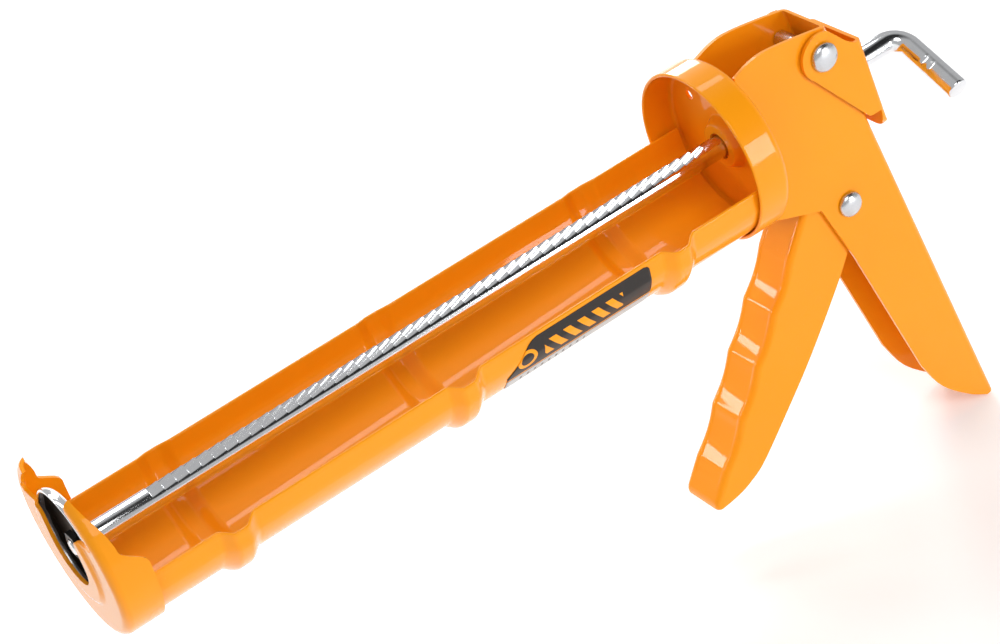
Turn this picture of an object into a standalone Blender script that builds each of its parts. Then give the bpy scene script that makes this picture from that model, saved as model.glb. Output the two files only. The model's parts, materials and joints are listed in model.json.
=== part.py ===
"""Half-barrel caulking gun with a toothed rod, built as separate pieces.

The gun frame has the rod's axis as X (nozzle end at +X), the left side at +Y and up as +Z.
X = 0 lies just inside the rear cup.  The root empty carries the whole gun, so that the
bottom centre of its bounding box is the world origin.
"""
import bpy
import bmesh
from math import atan, cos, pi, radians, sin, sqrt
from mathutils import Matrix, Vector

mm = 0.001

# Overall sizes
CAP_FACE_X = 226.5 * mm          # front face of the nozzle cap
CUP_BASE_X = -2.2 * mm           # outer face of the rear cup's base
CUP_RADIUS = 27.5 * mm           # outer radius of the rear cup
SHEET = 1.1 * mm                 # sheet steel of cradle, cap and cup
PLATE = 1.2 * mm                 # sheet steel of frame, trigger and lever
GAP = 0.3 * mm                   # play between neighbouring pieces
FIT = 0.3 * mm                   # radial play of shafts in their holes
ROUND = 48                       # sides of the large round pieces

# Cradle
BARREL_FIT = 0.4 * mm            # play between the cup's inside and the cradle
BARREL_RADIUS = CUP_RADIUS - SHEET - BARREL_FIT
BARREL_TUCK = 1.0 * mm           # how far the flat side bands lie inside the full radius at the top
BARREL_HALF_WIDTH = BARREL_RADIUS - BARREL_TUCK
BARREL_TOP_Z = -3.0 * mm         # height of the top edges
BARREL_BEND_Z = -9.6 * mm        # lower end of the flat band along each side
RIB_COUNT = 3
RIB_FIRST_X = 0.168 * CAP_FACE_X
RIB_PITCH = 0.331 * CAP_FACE_X
RIB_HALF_LENGTH = 6.2 * mm
RIB_CROWN = 1.4 * mm             # half length of the rib's flat top
RIB_HEIGHT = 2.6 * mm
RIB_DIP = 1.4 * mm               # how far the top edges dip where a rib crosses them

# Rear cup
CUP_RIM_X = 9.4 * mm
CUP_FILLET = 2.6 * mm
BOSS_RADIUS = 9.0 * mm
BOSS_HEIGHT = 3.2 * mm
BOSS_SLOPE = 2.4 * mm
VENT_RADIUS = 1.6 * mm
VENT_PLACE = (-14.9 * mm, 11.1 * mm)

# Nozzle cap
CAP_RADIUS = BARREL_RADIUS + SHEET + GAP
CAP_NOSE = 2.6 * mm              # radius of the rolled edge between face and rim
SKIRT_LENGTH = 12.7 * mm         # length of the skirt round the sides and bottom
RIM_LENGTH = 6.4 * mm            # length of the short rim below the ears
EAR_RIM = 3.0 * mm               # length of the rim at the ears' tips
EAR_ANGLE = 31.0                 # degrees from the top to each ear's tip
NOTCH_ANGLE = 70.0               # degrees from the top to the step between rim and skirt
SKIRT_ANGLE = 84.0               # degrees from the top where the skirt has its full length
SLOT_HALF_WIDTH = 10.5 * mm
SLOT_SHOULDER_Z = 7.0 * mm
SLOT_SHOULDER_RADIUS = 3.0 * mm
SLOT_CORNER = 2.0 * mm           # radius where the shoulders meet the horns
HORN_TAPER = 3.0                 # degrees between the inner and outer corner of each ear's tip
HORN_WIDTH = 3.6 * mm            # width of the face left beside the open top

# Handle frame, side view corners as (x, z)
FRAME_HALF_WIDTH = 10.0 * mm
FRAME_FOLD = 2.0 * mm
FRAME_TOP_REAR = (-37.1 * mm, 23.1 * mm)
FRAME_LEAN = 0.202               # backward run of the rear edge for each unit of drop
FRAME_TOP_FRONT_Z = CUP_RADIUS - 3.5 * mm
FRAME_CROWN = (-14.0 * mm, CUP_RADIUS - 0.9 * mm)
FRAME_BOTTOM_FRONT_Z = 1.3 * mm - CUP_RADIUS
FRAME_CROTCH = (-20.6 * mm, -33.0 * mm)
HANDLE_KNEE = (-28.3 * mm, -55.1 * mm)
HANDLE_CHIN = ((-58.5 * mm, -128.0 * mm), (-49.2 * mm, -118.6 * mm), (-43.3 * mm, -107.0 * mm))
HANDLE_TIP_Z = -132.8 * mm
HANDLE_TIP_WIDTH = 3.0 * mm

# Rod and plunger
ROD_RADIUS = 3.5 * mm
TOOTH_PITCH = 4.0 * mm
TOOTH_DEPTH = 1.5 * mm
TOOTH_STEP = 0.25 * mm           # run of each tooth's steep face
SMOOTH_FRONT = 26.5 * mm         # plain rod between the teeth and the nozzle cap's face
TOOTH_FRONT_X = CAP_FACE_X - SMOOTH_FRONT
TOOTH_REAR_X = -52.0 * mm
ROD_SIDES = 16
HOOK_X = -67.8 * mm              # axis of the hook's leg
HOOK_LENGTH = 27.0 * mm          # rod axis to the end of the leg
HOOK_DROP = 24.6                 # degrees that the leg points below level
HOOK_BEND = 6.0 * mm
HOOK_CHAMFER = 0.6 * mm
SHANK_RADIUS = ROD_RADIUS - 1.1 * mm
PLUNGER_PLAY = 6.9 * mm          # plunger's rim to the inside of the cradle
PLUNGER_RADIUS = BARREL_RADIUS - SHEET - PLUNGER_PLAY
PLUNGER_SHEET = 1.2 * mm
PLUNGER_DISH = 2.4 * mm
PLUNGER_EDGE = 2.0 * mm
PLUNGER_TRAVEL_GAP = 0.6 * mm    # plunger's rim to the inside of the nozzle cap
WASHER_RADIUS = 9.0 * mm
WASHER_THICK = 1.4 * mm
NUT_WIDTH = 8.0 * mm             # across flats
NUT_THICK = 1.8 * mm
SHANK_PROUD = 0.5 * mm

# Rivets
LEVER_PIVOT = (-32.5 * mm, 15.6 * mm)
LEVER_RIVET_RADIUS = 1.7 * mm
LEVER_RIVET_HEAD = 4.6 * mm
TRIGGER_PIVOT = (-30.7 * mm, -36.2 * mm)
TRIGGER_RIVET_RADIUS = 2.3 * mm
TRIGGER_RIVET_HEAD = 4.1 * mm
HEAD_HEIGHT = 2.2 * mm
SPACER_WALL = 0.6 * mm
BUSH_WALL = 1.4 * mm

# Trigger, side view corners as (x, z)
TRIGGER_SIDE_PLAY = 0.5 * mm     # between trigger and frame, each side
TRIGGER_FOLD = 2.0 * mm
TRIGGER_TIP = (39.6 * mm, -107.6 * mm)
TRIGGER_THROAT = (-14.8 * mm, -32.4 * mm)
TRIGGER_BACK = ((-28.6 * mm, -50.5 * mm), (-21.8 * mm, -60.2 * mm), (-5.2 * mm, -79.4 * mm),
                (9.7 * mm, -94.4 * mm), (20.6 * mm, -104.6 * mm), (26.5 * mm, -108.0 * mm),
                (30.5 * mm, -109.5 * mm), (34.5 * mm, -110.3 * mm), (38.5 * mm, -110.8 * mm))
TRIGGER_SHOULDER = ((-8.0 * mm, 1.0 * mm), (-6.4 * mm, -7.0 * mm))   # from the pivot, behind it
TRIGGER_ARM_FRONT = (-21.0 * mm, -22.5 * mm)
TRIGGER_TOE = 4.0 * mm           # radius of the curl at the trigger's end
FINGER_COUNT = 4
FINGER_PITCH = 17.3 * mm
FINGER_DEPTH = 1.0 * mm
FINGER_START = 14.0 * mm         # from the throat to the first finger groove's edge

# Drive pawl
PAWL_PIN = (-35.4 * mm, -17.8 * mm)
PAWL_PIN_RADIUS = 1.6 * mm
PAWL_ARM_RADIUS = 4.4 * mm
PAWL_THICK = 4.0 * mm
PAWL_HUB = 3.6 * mm
PAWL_REACH = 11.0 * mm           # pin to nose, forward
PAWL_ROD_GAP = 1.0 * mm          # nose below the rod at rest
PAWL_NOSE = ((-1.0 * mm, -6.5 * mm), (0.0, 0.0), (-3.0 * mm, -0.9 * mm))   # from the nose's tip
PAWL_TAIL = ((-7.0 * mm, -1.5 * mm), (-7.4 * mm, -7.6 * mm), (-2.6 * mm, -8.4 * mm))   # from the pin

# Release lever
LEVER_SIDE_PLAY = 0.5 * mm
LEVER_FOLD = 1.8 * mm
LEVER_TOP = (-46.9 * mm, 13.9 * mm)
LEVER_FOOT = (-50.0 * mm, -13.6 * mm)
LEVER_EAR = 7.6 * mm
LEVER_SHOULDER = ((2.5 * mm, 0.0), (5.6 * mm, 2.4 * mm))   # top edge in front of the web, from its corner
LEVER_FLANGE_FOOT = (5.6 * mm, 1.9 * mm)   # lower corner of each side, from the foot
LEVER_LIP = 5.6 * mm             # thumb lip below the sides
LEVER_LIP_CORNER = 6.0 * mm
LEVER_HOLE = ROD_RADIUS + 1.7 * mm
LEVER_CATCH_GAP = 0.5 * mm       # catch edge below the rod at rest

# Springs
COIL_GAP = 0.15 * mm             # between the turns of the torsion springs
TRIGGER_WIRE = 0.55 * mm
TRIGGER_SPRING_LEGS = (7.0 * mm, 11.0 * mm)
TRIGGER_SPRING_ANGLES = (170, 235)
TRIGGER_SPRING_ROOM = 0.5        # share of the room between the trigger's sides that the coils fill
PAWL_WIRE = 0.35 * mm
PAWL_SPRING_LEGS = (2.0 * mm, 5.0 * mm)
PAWL_SPRING_ANGLES = (180, 270)
RELEASE_WIRE = 0.35 * mm
RELEASE_COILS = 3
RELEASE_RADIUS = 3.0 * mm
RELEASE_Z = -9.6 * mm
RELEASE_SEAT = 0.5 * mm          # further play at each end of the release spring

# Sticker on the cradle's left side, between the first two ribs
LABEL_RIB_GAP = 4.5 * mm         # rear edge to the first rib
LABEL_REAR_X = RIB_FIRST_X + RIB_HALF_LENGTH + LABEL_RIB_GAP
LABEL_LENGTH = 0.68 * RIB_PITCH
LABEL_SLANT = 9.5 * mm           # how much shorter the upper edge is
LABEL_THICK = 0.3 * mm
LABEL_UPPER = 1.3 * mm           # cradle's top edge to the sticker, along the surface
LABEL_HEIGHT = 18.2 * mm         # along the surface

ORANGE = ((1.0, 0.36, 0.005, 1.0), 0.25, 0.0)
ZINC = ((0.72, 0.73, 0.74, 1.0), 0.22, 1.0)
DARK_STEEL = ((0.32, 0.31, 0.30, 1.0), 0.4, 1.0)
SPRING_STEEL = ((0.45, 0.45, 0.46, 1.0), 0.3, 1.0)
STICKER = ((0.05, 0.04, 0.04, 1.0), 0.35, 0.0)


def clear_scene():
    for thing in list(bpy.data.objects):
        bpy.data.objects.remove(thing, do_unlink=True)


def make_material(name, look):
    colour, roughness, metallic = look
    material = bpy.data.materials.new(name + "_finish")
    material.use_nodes = True
    shader = material.node_tree.nodes["Principled BSDF"]
    shader.inputs["Base Color"].default_value = colour
    shader.inputs["Roughness"].default_value = roughness
    shader.inputs["Metallic"].default_value = metallic
    return material


def add_piece(name, bm, look, pivot=(0.0, 0.0, 0.0)):
    """Turn a bmesh in the gun frame into a named object whose origin is its pivot."""
    bmesh.ops.recalc_face_normals(bm, faces=bm.faces)
    bmesh.ops.translate(bm, verts=bm.verts, vec=-Vector(pivot))
    mesh = bpy.data.meshes.new(name)
    bm.to_mesh(mesh)
    bm.free()
    piece = bpy.data.objects.new(name, mesh)
    bpy.context.scene.collection.objects.link(piece)
    piece.location = pivot
    mesh.materials.append(make_material(name, look))
    mesh.shade_smooth()
    mesh.set_sharp_from_angle(angle=radians(35))
    return piece


def add_cutter(name, bm, pivot=(0.0, 0.0, 0.0)):
    cutter = add_piece(name, bm, DARK_STEEL, pivot)
    cutter.hide_render = True
    cutter.display_type = "WIRE"
    return cutter


def combine(piece, other, operation):
    boolean = piece.modifiers.new(other.name, "BOOLEAN")
    boolean.operation = operation
    boolean.object = other
    boolean.solver = "EXACT"


def loft(rings, loop=False):
    """Join rings of equal length into one closed body, with end faces unless it loops."""
    bm = bmesh.new()
    rows = [[bm.verts.new(point) for point in ring] for ring in rings]
    count = len(rows[0])
    pairs = list(zip(rows, rows[1:]))
    if loop:
        pairs.append((rows[-1], rows[0]))
    for first, second in pairs:
        for i in range(count):
            j = (i + 1) % count
            bm.faces.new((first[i], first[j], second[j], second[i]))
    if not loop:
        bm.faces.new(rows[0])
        bm.faces.new(reversed(rows[-1]))
    return bm


def prism(outline, half_width):
    """Side view outline of (x, z) points, as thick as twice half_width about Y = 0."""
    return loft([[(x, y, z) for x, z in outline] for y in (-half_width, half_width)])


def turned(profile, sides=ROUND):
    """Closed (x, radius) profile turned about the rod's axis."""
    rings = []
    for k in range(sides):
        a = 2 * pi * k / sides
        rings.append([(x, r * sin(a), r * cos(a)) for x, r in profile])
    return loft(rings, loop=True)


def turned_solid(profile, sides=ROUND):
    """Open (x, radius) profile, front to back, turned about the rod's axis and closed at both ends."""
    rings = []
    for x, r in profile:
        rings.append([(x, r * sin(2 * pi * k / sides), r * cos(2 * pi * k / sides)) for k in range(sides)])
    return loft(rings)


def cross_pin(centre, profile, sides):
    """Open (y, radius) profile turned about an axis along Y through centre (x, z)."""
    rings = []
    for y, r in profile:
        turn = [2 * pi * k / sides for k in range(sides)]
        rings.append([(centre[0] + r * cos(a), y, centre[1] + r * sin(a)) for a in turn])
    return loft(rings)


def cross_tube(centre, inner, outer, half_length, sides):
    rings = []
    for y, r in ((-half_length, inner), (-half_length, outer), (half_length, outer), (half_length, inner)):
        turn = [2 * pi * k / sides for k in range(sides)]
        rings.append([(centre[0] + r * cos(a), y, centre[1] + r * sin(a)) for a in turn])
    return loft(rings, loop=True)


def arc(centre, radius, start, end, steps):
    """Points on an arc in degrees, both ends included."""
    points = []
    for k in range(steps + 1):
        a = radians(start + (end - start) * k / steps)
        points.append((centre[0] + radius * cos(a), centre[1] + radius * sin(a)))
    return points


def smooth_step(t):
    t = min(max(t, 0.0), 1.0)
    return t * t * (3 - 2 * t)


def curve_through(points, steps):
    """Catmull-Rom curve through (x, z) points."""
    padded = [points[0]] + list(points) + [points[-1]]
    out = []
    for p0, p1, p2, p3 in zip(padded, padded[1:], padded[2:], padded[3:]):
        for k in range(steps):
            t = k / steps
            out.append(tuple(0.5 * (2 * b + (c - a) * t + (2 * a - 5 * b + 4 * c - d) * t * t
                                    + (3 * b - a - 3 * c + d) * t ** 3)
                             for a, b, c, d in zip(p0, p1, p2, p3)))
    out.append(points[-1])
    return out


def channel(start, end, half_width, wall, fold, leg, wave=None, steps=1):
    """Folded U of sheet: its web runs from start to end in side view, its legs point to +X side.

    wave(distance) moves the web inwards, as finger grooves do.
    """
    line = Vector((end[0] - start[0], 0.0, end[1] - start[1]))
    length = line.length
    along = line / length
    inward = Vector((along.z, 0.0, -along.x))
    if leg < 0:
        inward = -inward
    reach = abs(leg)
    corner = []
    for k in range(5):
        a = radians(90 * k / 4)
        corner.append((1 - sin(a), 1 - cos(a)))
    rings = []
    for s in range(steps + 1):
        distance = length * s / steps
        base = Vector((start[0], 0.0, start[1])) + along * distance
        shift = wave(distance) if wave else 0.0
        outer = [(reach, 1)] + [(shift + fold * d, 1 - fold * e / half_width) for d, e in corner]
        inner_fold = fold - wall
        inner_width = half_width - wall
        inner = [(reach, 1)] + [(shift + wall + inner_fold * d, 1 - inner_fold * e / inner_width)
                                for d, e in corner]
        ring = [base + inward * d + Vector((0, w * half_width, 0)) for d, w in outer]
        ring += [base + inward * d - Vector((0, w * half_width, 0)) for d, w in reversed(outer)]
        ring += [base + inward * d - Vector((0, w * inner_width, 0)) for d, w in inner]
        ring += [base + inward * d + Vector((0, w * inner_width, 0)) for d, w in reversed(inner)]
        rings.append(ring)
    return loft(rings)


def cut_cross_hole(piece, centre, radius, half_length, sides=24):
    bm = cross_pin(centre, [(-half_length, radius), (half_length, radius)], sides)
    combine(piece, add_cutter(piece.name + "_hole_cutter", bm), "DIFFERENCE")


def cut_along_hole(piece, place, radius, x_low, x_high, sides=24):
    """Hole parallel to the rod, at place (y, z)."""
    bm = turned_solid([(x_high, radius), (x_low, radius)], sides)
    bmesh.ops.translate(bm, verts=bm.verts, vec=(0, place[0], place[1]))
    combine(piece, add_cutter(piece.name + "_bore_cutter", bm), "DIFFERENCE")


def frame_rear_x(z):
    """X of the frame's rear edge at a height."""
    return FRAME_TOP_REAR[0] - FRAME_LEAN * (FRAME_TOP_REAR[1] - z)


# ---------------------------------------------------------------- cradle, cup and cap

def bend_angle():
    """Angle below level at which the flat side band meets the round of the barrel."""
    sine = -BARREL_BEND_Z / BARREL_RADIUS
    return atan(sine / sqrt(1 - sine * sine))


def barrel_section(outset, wall, dip=0.0):
    """Section of the cradle's surface from the left top edge to the right one, moved out by outset
    and in by wall, with its top edges lowered by dip."""
    radius = BARREL_RADIUS + outset - wall
    left = [(BARREL_HALF_WIDTH + outset - wall, BARREL_TOP_Z - dip)]
    first = bend_angle()
    steps = 10
    for k in range(steps + 1):
        a = first + (pi / 2 - first) * k / steps
        left.append((radius * cos(a), -radius * sin(a)))
    right = [(-y, z) for y, z in reversed(left[:-1])]
    return left + right


def make_cradle():
    front = CAP_FACE_X - CAP_NOSE
    rear = CUP_BASE_X + CUP_FILLET
    stations = [(rear, 0.0)]
    ramp = 4
    for rib in range(RIB_COUNT):
        centre = RIB_FIRST_X + rib * RIB_PITCH
        for k in range(ramp + 1):
            x = centre - RIB_HALF_LENGTH + (RIB_HALF_LENGTH - RIB_CROWN) * k / ramp
            stations.append((x, smooth_step(k / ramp)))
        for k in range(ramp + 1):
            x = centre + RIB_CROWN + (RIB_HALF_LENGTH - RIB_CROWN) * k / ramp
            stations.append((x, 1 - smooth_step(k / ramp)))
    stations.append((front, 0.0))
    rings = []
    for x, rise in stations:
        outer = barrel_section(RIB_HEIGHT * rise, 0.0, RIB_DIP * rise)
        inner = barrel_section(RIB_HEIGHT * rise, SHEET, RIB_DIP * rise)
        rings.append([(x, y, z) for y, z in outer] + [(x, y, z) for y, z in reversed(inner)])
    add_piece("cradle", loft(rings), ORANGE)


def make_rear_cup():
    inner_base = CUP_BASE_X + SHEET
    bore = ROD_RADIUS + FIT + GAP
    inner_fillet = CUP_FILLET - SHEET
    outside = [(CUP_BASE_X + BOSS_HEIGHT, bore), (CUP_BASE_X + BOSS_HEIGHT, BOSS_RADIUS - BOSS_SLOPE),
               (CUP_BASE_X, BOSS_RADIUS)]
    outside += arc((CUP_BASE_X + CUP_FILLET, CUP_RADIUS - CUP_FILLET), CUP_FILLET, 180, 90, 5)
    outside += [(CUP_RIM_X, CUP_RADIUS), (CUP_RIM_X, CUP_RADIUS - SHEET)]
    inside = arc((inner_base + inner_fillet, CUP_RADIUS - SHEET - inner_fillet), inner_fillet, 90, 180, 4)
    inside += [(inner_base, BOSS_RADIUS), (inner_base + BOSS_HEIGHT, BOSS_RADIUS - BOSS_SLOPE),
               (inner_base + BOSS_HEIGHT, bore)]
    cup = add_piece("rear_cup", turned(outside + inside), ORANGE)
    cut_along_hole(cup, VENT_PLACE, VENT_RADIUS, CUP_BASE_X - SHEET, inner_base + SHEET, 12)


def cap_rear_x(angle):
    """Where the cap's rim ends, at an angle in degrees from the top."""
    short = EAR_RIM + (RIM_LENGTH - EAR_RIM) * smooth_step((angle - EAR_ANGLE) / (NOTCH_ANGLE - EAR_ANGLE))
    extra = (SKIRT_LENGTH - RIM_LENGTH) * smooth_step((angle - NOTCH_ANGLE) / (SKIRT_ANGLE - NOTCH_ANGLE))
    return CAP_FACE_X - short - extra


def slot_outline():
    """Closed (y, z) outline of the nozzle slot and the open top between the ears."""
    shoulder = SLOT_SHOULDER_RADIUS
    inner = CAP_RADIUS - HORN_WIDTH
    ledge_z = SLOT_SHOULDER_Z + shoulder
    ledge_y = sqrt(inner ** 2 - ledge_z ** 2)
    half = [(0.0, -SLOT_HALF_WIDTH)] + arc((0, 0), SLOT_HALF_WIDTH, -80, 0, 8)
    half += arc((SLOT_HALF_WIDTH + shoulder, SLOT_SHOULDER_Z), shoulder, 180, 90, 5)
    half += arc((ledge_y - SLOT_CORNER, ledge_z + SLOT_CORNER), SLOT_CORNER, -90, 0, 4)
    start = atan(ledge_y / (ledge_z + 2 * SLOT_CORNER))
    tip = radians(EAR_ANGLE + HORN_TAPER)
    for k in range(5):
        a = start + (tip - start) * k / 4
        half.append((inner * sin(a), inner * cos(a)))
    ear = radians(EAR_ANGLE)
    half += [(reach * sin(ear), reach * cos(ear)) for reach in (CAP_RADIUS, CAP_RADIUS + SKIRT_LENGTH)]
    return half + [(-y, z) for y, z in reversed(half[1:])]


def make_front_cap():
    nose = CAP_NOSE
    inner_nose = nose - SHEET
    back = CAP_FACE_X - SKIRT_LENGTH
    hub = 0.5 * SLOT_HALF_WIDTH
    outside = [(CAP_FACE_X, hub)]
    outside += arc((CAP_FACE_X - nose, CAP_RADIUS - nose), nose, 0, 90, 5)
    outside += [(back, CAP_RADIUS), (back, CAP_RADIUS - SHEET)]
    inside = arc((CAP_FACE_X - nose, CAP_RADIUS - nose), inner_nose, 90, 0, 4)
    inside.append((CAP_FACE_X - SHEET, hub))
    cap = add_piece("front_cap", turned(outside + inside, 72), ORANGE)

    depth = 2 * SKIRT_LENGTH
    slot = loft([[(x, y, z) for y, z in slot_outline()] for x in (CAP_FACE_X - depth, CAP_FACE_X + nose)])
    combine(cap, add_cutter("front_cap_slot_cutter", slot), "DIFFERENCE")

    rings = []
    steps = 48
    for k in range(steps + 1):
        angle = SKIRT_ANGLE * (2 * k / steps - 1)
        a = radians(angle)
        edge = cap_rear_x(abs(angle))
        low = CAP_RADIUS - 3 * SHEET
        high = CAP_RADIUS + SHEET
        rings.append([(x, r * sin(a), r * cos(a)) for x, r in
                      ((back - nose, low), (back - nose, high), (edge, high), (edge, low))])
    combine(cap, add_cutter("front_cap_rim_cutter", loft(rings)), "DIFFERENCE")


def side_point(distance, outset):
    """(y, z) on the cradle's left side, at a distance along the surface from the top edge."""
    first = bend_angle()
    bend = (BARREL_RADIUS * cos(first), BARREL_BEND_Z)
    top = (BARREL_HALF_WIDTH, BARREL_TOP_Z)
    band = Vector((bend[0] - top[0], bend[1] - top[1]))
    if distance < band.length:
        t = distance / band.length
        return top[0] + band.x * t + outset, top[1] + band.y * t
    a = first + (distance - band.length) / BARREL_RADIUS
    reach = BARREL_RADIUS + outset
    return reach * cos(a), -reach * sin(a)


def make_label():
    """Thin panel that follows the cradle's side, with a slanted front end."""
    rings = []
    steps = 12
    for k in range(steps + 1):
        t = k / steps
        distance = LABEL_UPPER + LABEL_HEIGHT * t
        front = LABEL_REAR_X + LABEL_LENGTH - LABEL_SLANT * (1 - t)
        low = side_point(distance, GAP)
        high = side_point(distance, GAP + LABEL_THICK)
        rings.append([(x, y, z) for x, (y, z) in
                      ((LABEL_REAR_X, low), (LABEL_REAR_X, high), (front, high), (front, low))])
    add_piece("label_sticker", loft(rings), STICKER)


# ---------------------------------------------------------------- frame and its rivets

def frame_outline():
    front = CUP_BASE_X - GAP
    top = curve_through([(front, FRAME_TOP_FRONT_Z), FRAME_CROWN, FRAME_TOP_REAR], 6)
    past_web = (FRAME_TOP_REAR[0] - FRAME_FOLD, FRAME_TOP_REAR[1])
    tip_x = frame_rear_x(HANDLE_TIP_Z)
    tip = [(tip_x - FRAME_FOLD, HANDLE_TIP_Z), (tip_x + HANDLE_TIP_WIDTH, HANDLE_TIP_Z)]
    chin = curve_through([tip[1], *HANDLE_CHIN], 4)
    return top + [past_web, tip[0]] + chin + [HANDLE_KNEE, FRAME_CROTCH, (front, FRAME_BOTTOM_FRONT_Z)]


def make_handle_frame():
    run = 12 * mm
    top = (frame_rear_x(FRAME_TOP_REAR[1] + run), FRAME_TOP_REAR[1] + run)
    foot = (frame_rear_x(HANDLE_TIP_Z - run), HANDLE_TIP_Z - run)
    leg = 70 * mm
    bm = channel(top, foot, FRAME_HALF_WIDTH, PLATE, FRAME_FOLD, -leg)
    frame = add_piece("handle_frame", bm, ORANGE)
    side = prism(frame_outline(), FRAME_HALF_WIDTH + PLATE)
    combine(frame, add_cutter("handle_frame_outline", side), "INTERSECT")
    cut_cross_hole(frame, LEVER_PIVOT, LEVER_RIVET_RADIUS + FIT, 2 * FRAME_HALF_WIDTH)
    cut_cross_hole(frame, TRIGGER_PIVOT, TRIGGER_RIVET_RADIUS + FIT, 2 * FRAME_HALF_WIDTH)
    rear = frame_rear_x(0.0)
    cut_along_hole(frame, (0.0, 0.0), ROD_RADIUS + 2 * FIT, rear - 8 * mm, rear + 8 * mm)


def rivet_profile(shank, head, half_grip):
    """(y, radius) points of a rivet with a low dome at each end."""
    dome = []
    steps = 4
    for k in range(steps + 1):
        a = radians(90 * k / steps)
        dome.append((half_grip + HEAD_HEIGHT * sin(a), max(head * cos(a), 0.12 * head)))
    right = [(half_grip, shank)] + dome
    return [(-y, r) for y, r in reversed(right)] + right


def make_lever_rivet():
    lever_half = FRAME_HALF_WIDTH + LEVER_SIDE_PLAY + PLATE
    profile = rivet_profile(LEVER_RIVET_RADIUS, LEVER_RIVET_HEAD, lever_half + GAP)
    pivot = (LEVER_PIVOT[0], 0.0, LEVER_PIVOT[1])
    add_piece("lever_pivot_rivet", cross_pin(LEVER_PIVOT, profile, 24), ZINC, pivot)
    inner = LEVER_RIVET_RADIUS + FIT
    tube = cross_tube(LEVER_PIVOT, inner, inner + SPACER_WALL, FRAME_HALF_WIDTH - PLATE - GAP, 24)
    add_piece("lever_spacer", tube, ZINC, pivot)


def make_trigger_rivet():
    profile = rivet_profile(TRIGGER_RIVET_RADIUS, TRIGGER_RIVET_HEAD, FRAME_HALF_WIDTH + GAP)
    pivot = (TRIGGER_PIVOT[0], 0.0, TRIGGER_PIVOT[1])
    add_piece("trigger_pivot_rivet", cross_pin(TRIGGER_PIVOT, profile, 24), ZINC, pivot)


# ---------------------------------------------------------------- trigger and drive pawl

def trigger_half_width():
    return FRAME_HALF_WIDTH - PLATE - TRIGGER_SIDE_PLAY


def finger_wave(distance):
    """Depth of the finger grooves, at a distance down from the throat."""
    place = distance - FINGER_START
    if place < 0 or place > FINGER_COUNT * FINGER_PITCH:
        return 0.0
    return FINGER_DEPTH * abs(sin(pi * place / FINGER_PITCH))


def toe_curl(distance):
    """How far the trigger's web has curled back, at a distance past the start of its toe."""
    reach = min(max(distance, 0.0), TRIGGER_TOE)
    return TRIGGER_TOE - sqrt(TRIGGER_TOE ** 2 - reach ** 2)


def trigger_outline():
    pivot_x, pivot_z = TRIGGER_PIVOT
    beyond = TRIGGER_TOE
    arm_top = arc(PAWL_PIN, PAWL_ARM_RADIUS, 20, 190, 6)
    shoulder = [(pivot_x + x, pivot_z + z) for x, z in TRIGGER_SHOULDER]
    toe = (TRIGGER_TIP[0], TRIGGER_BACK[-1][1])
    front = [(point[0] + beyond, point[1]) for point in (toe, TRIGGER_TIP, TRIGGER_THROAT)]
    return arm_top + shoulder + list(TRIGGER_BACK) + front + [TRIGGER_ARM_FRONT]


def make_trigger():
    run = Vector((TRIGGER_TIP[0] - TRIGGER_THROAT[0], TRIGGER_TIP[1] - TRIGGER_THROAT[1]))
    slope = run.normalized()
    above = 14 * mm
    below = 0.92 * TRIGGER_TOE
    top = (TRIGGER_THROAT[0] - slope.x * above, TRIGGER_THROAT[1] - slope.y * above)
    foot = (TRIGGER_TIP[0] + slope.x * below, TRIGGER_TIP[1] + slope.y * below)
    toe_start = run.length + above
    bm = channel(top, foot, trigger_half_width(), PLATE, TRIGGER_FOLD, 44 * mm,
                 lambda distance: finger_wave(distance - above) + toe_curl(distance - toe_start), 60)
    pivot = (TRIGGER_PIVOT[0], 0.0, TRIGGER_PIVOT[1])
    trigger = add_piece("trigger", bm, ORANGE, pivot)
    side = prism(trigger_outline(), FRAME_HALF_WIDTH)
    combine(trigger, add_cutter("trigger_outline", side), "INTERSECT")
    cut_cross_hole(trigger, TRIGGER_PIVOT, TRIGGER_RIVET_RADIUS + FIT, 2 * FRAME_HALF_WIDTH)
    cut_cross_hole(trigger, PAWL_PIN, PAWL_PIN_RADIUS + FIT, 2 * FRAME_HALF_WIDTH, 16)
    inner = TRIGGER_RIVET_RADIUS + FIT
    half_length = trigger_half_width() - PLATE - GAP
    bush = cross_tube(TRIGGER_PIVOT, inner, inner + BUSH_WALL, half_length, 20)
    add_piece("trigger_bush", bush, ZINC, pivot)


def make_drive_pawl():
    """Pawl with a hooked nose in front of its pin and a tail behind it that balances it."""
    pin_half = trigger_half_width()
    pin = [(-pin_half, PAWL_PIN_RADIUS), (pin_half, PAWL_PIN_RADIUS)]
    pivot = (PAWL_PIN[0], 0.0, PAWL_PIN[1])
    add_piece("drive_pawl_pin", cross_pin(PAWL_PIN, pin, 16), DARK_STEEL, pivot)
    x, z = PAWL_PIN
    nose_z = -ROD_RADIUS - PAWL_ROD_GAP
    nose_x = x + PAWL_REACH
    outline = arc(PAWL_PIN, PAWL_HUB, 110, 160, 3)
    outline += [(x + dx, z + dz) for dx, dz in PAWL_TAIL]
    outline += arc(PAWL_PIN, PAWL_HUB, 270, 290, 2)
    outline += [(nose_x + dx, nose_z + dz) for dx, dz in PAWL_NOSE]
    pawl = add_piece("drive_pawl", prism(outline, PAWL_THICK / 2), DARK_STEEL, pivot)
    cut_cross_hole(pawl, PAWL_PIN, PAWL_PIN_RADIUS + FIT, PAWL_THICK, 16)


# ---------------------------------------------------------------- release lever

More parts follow.
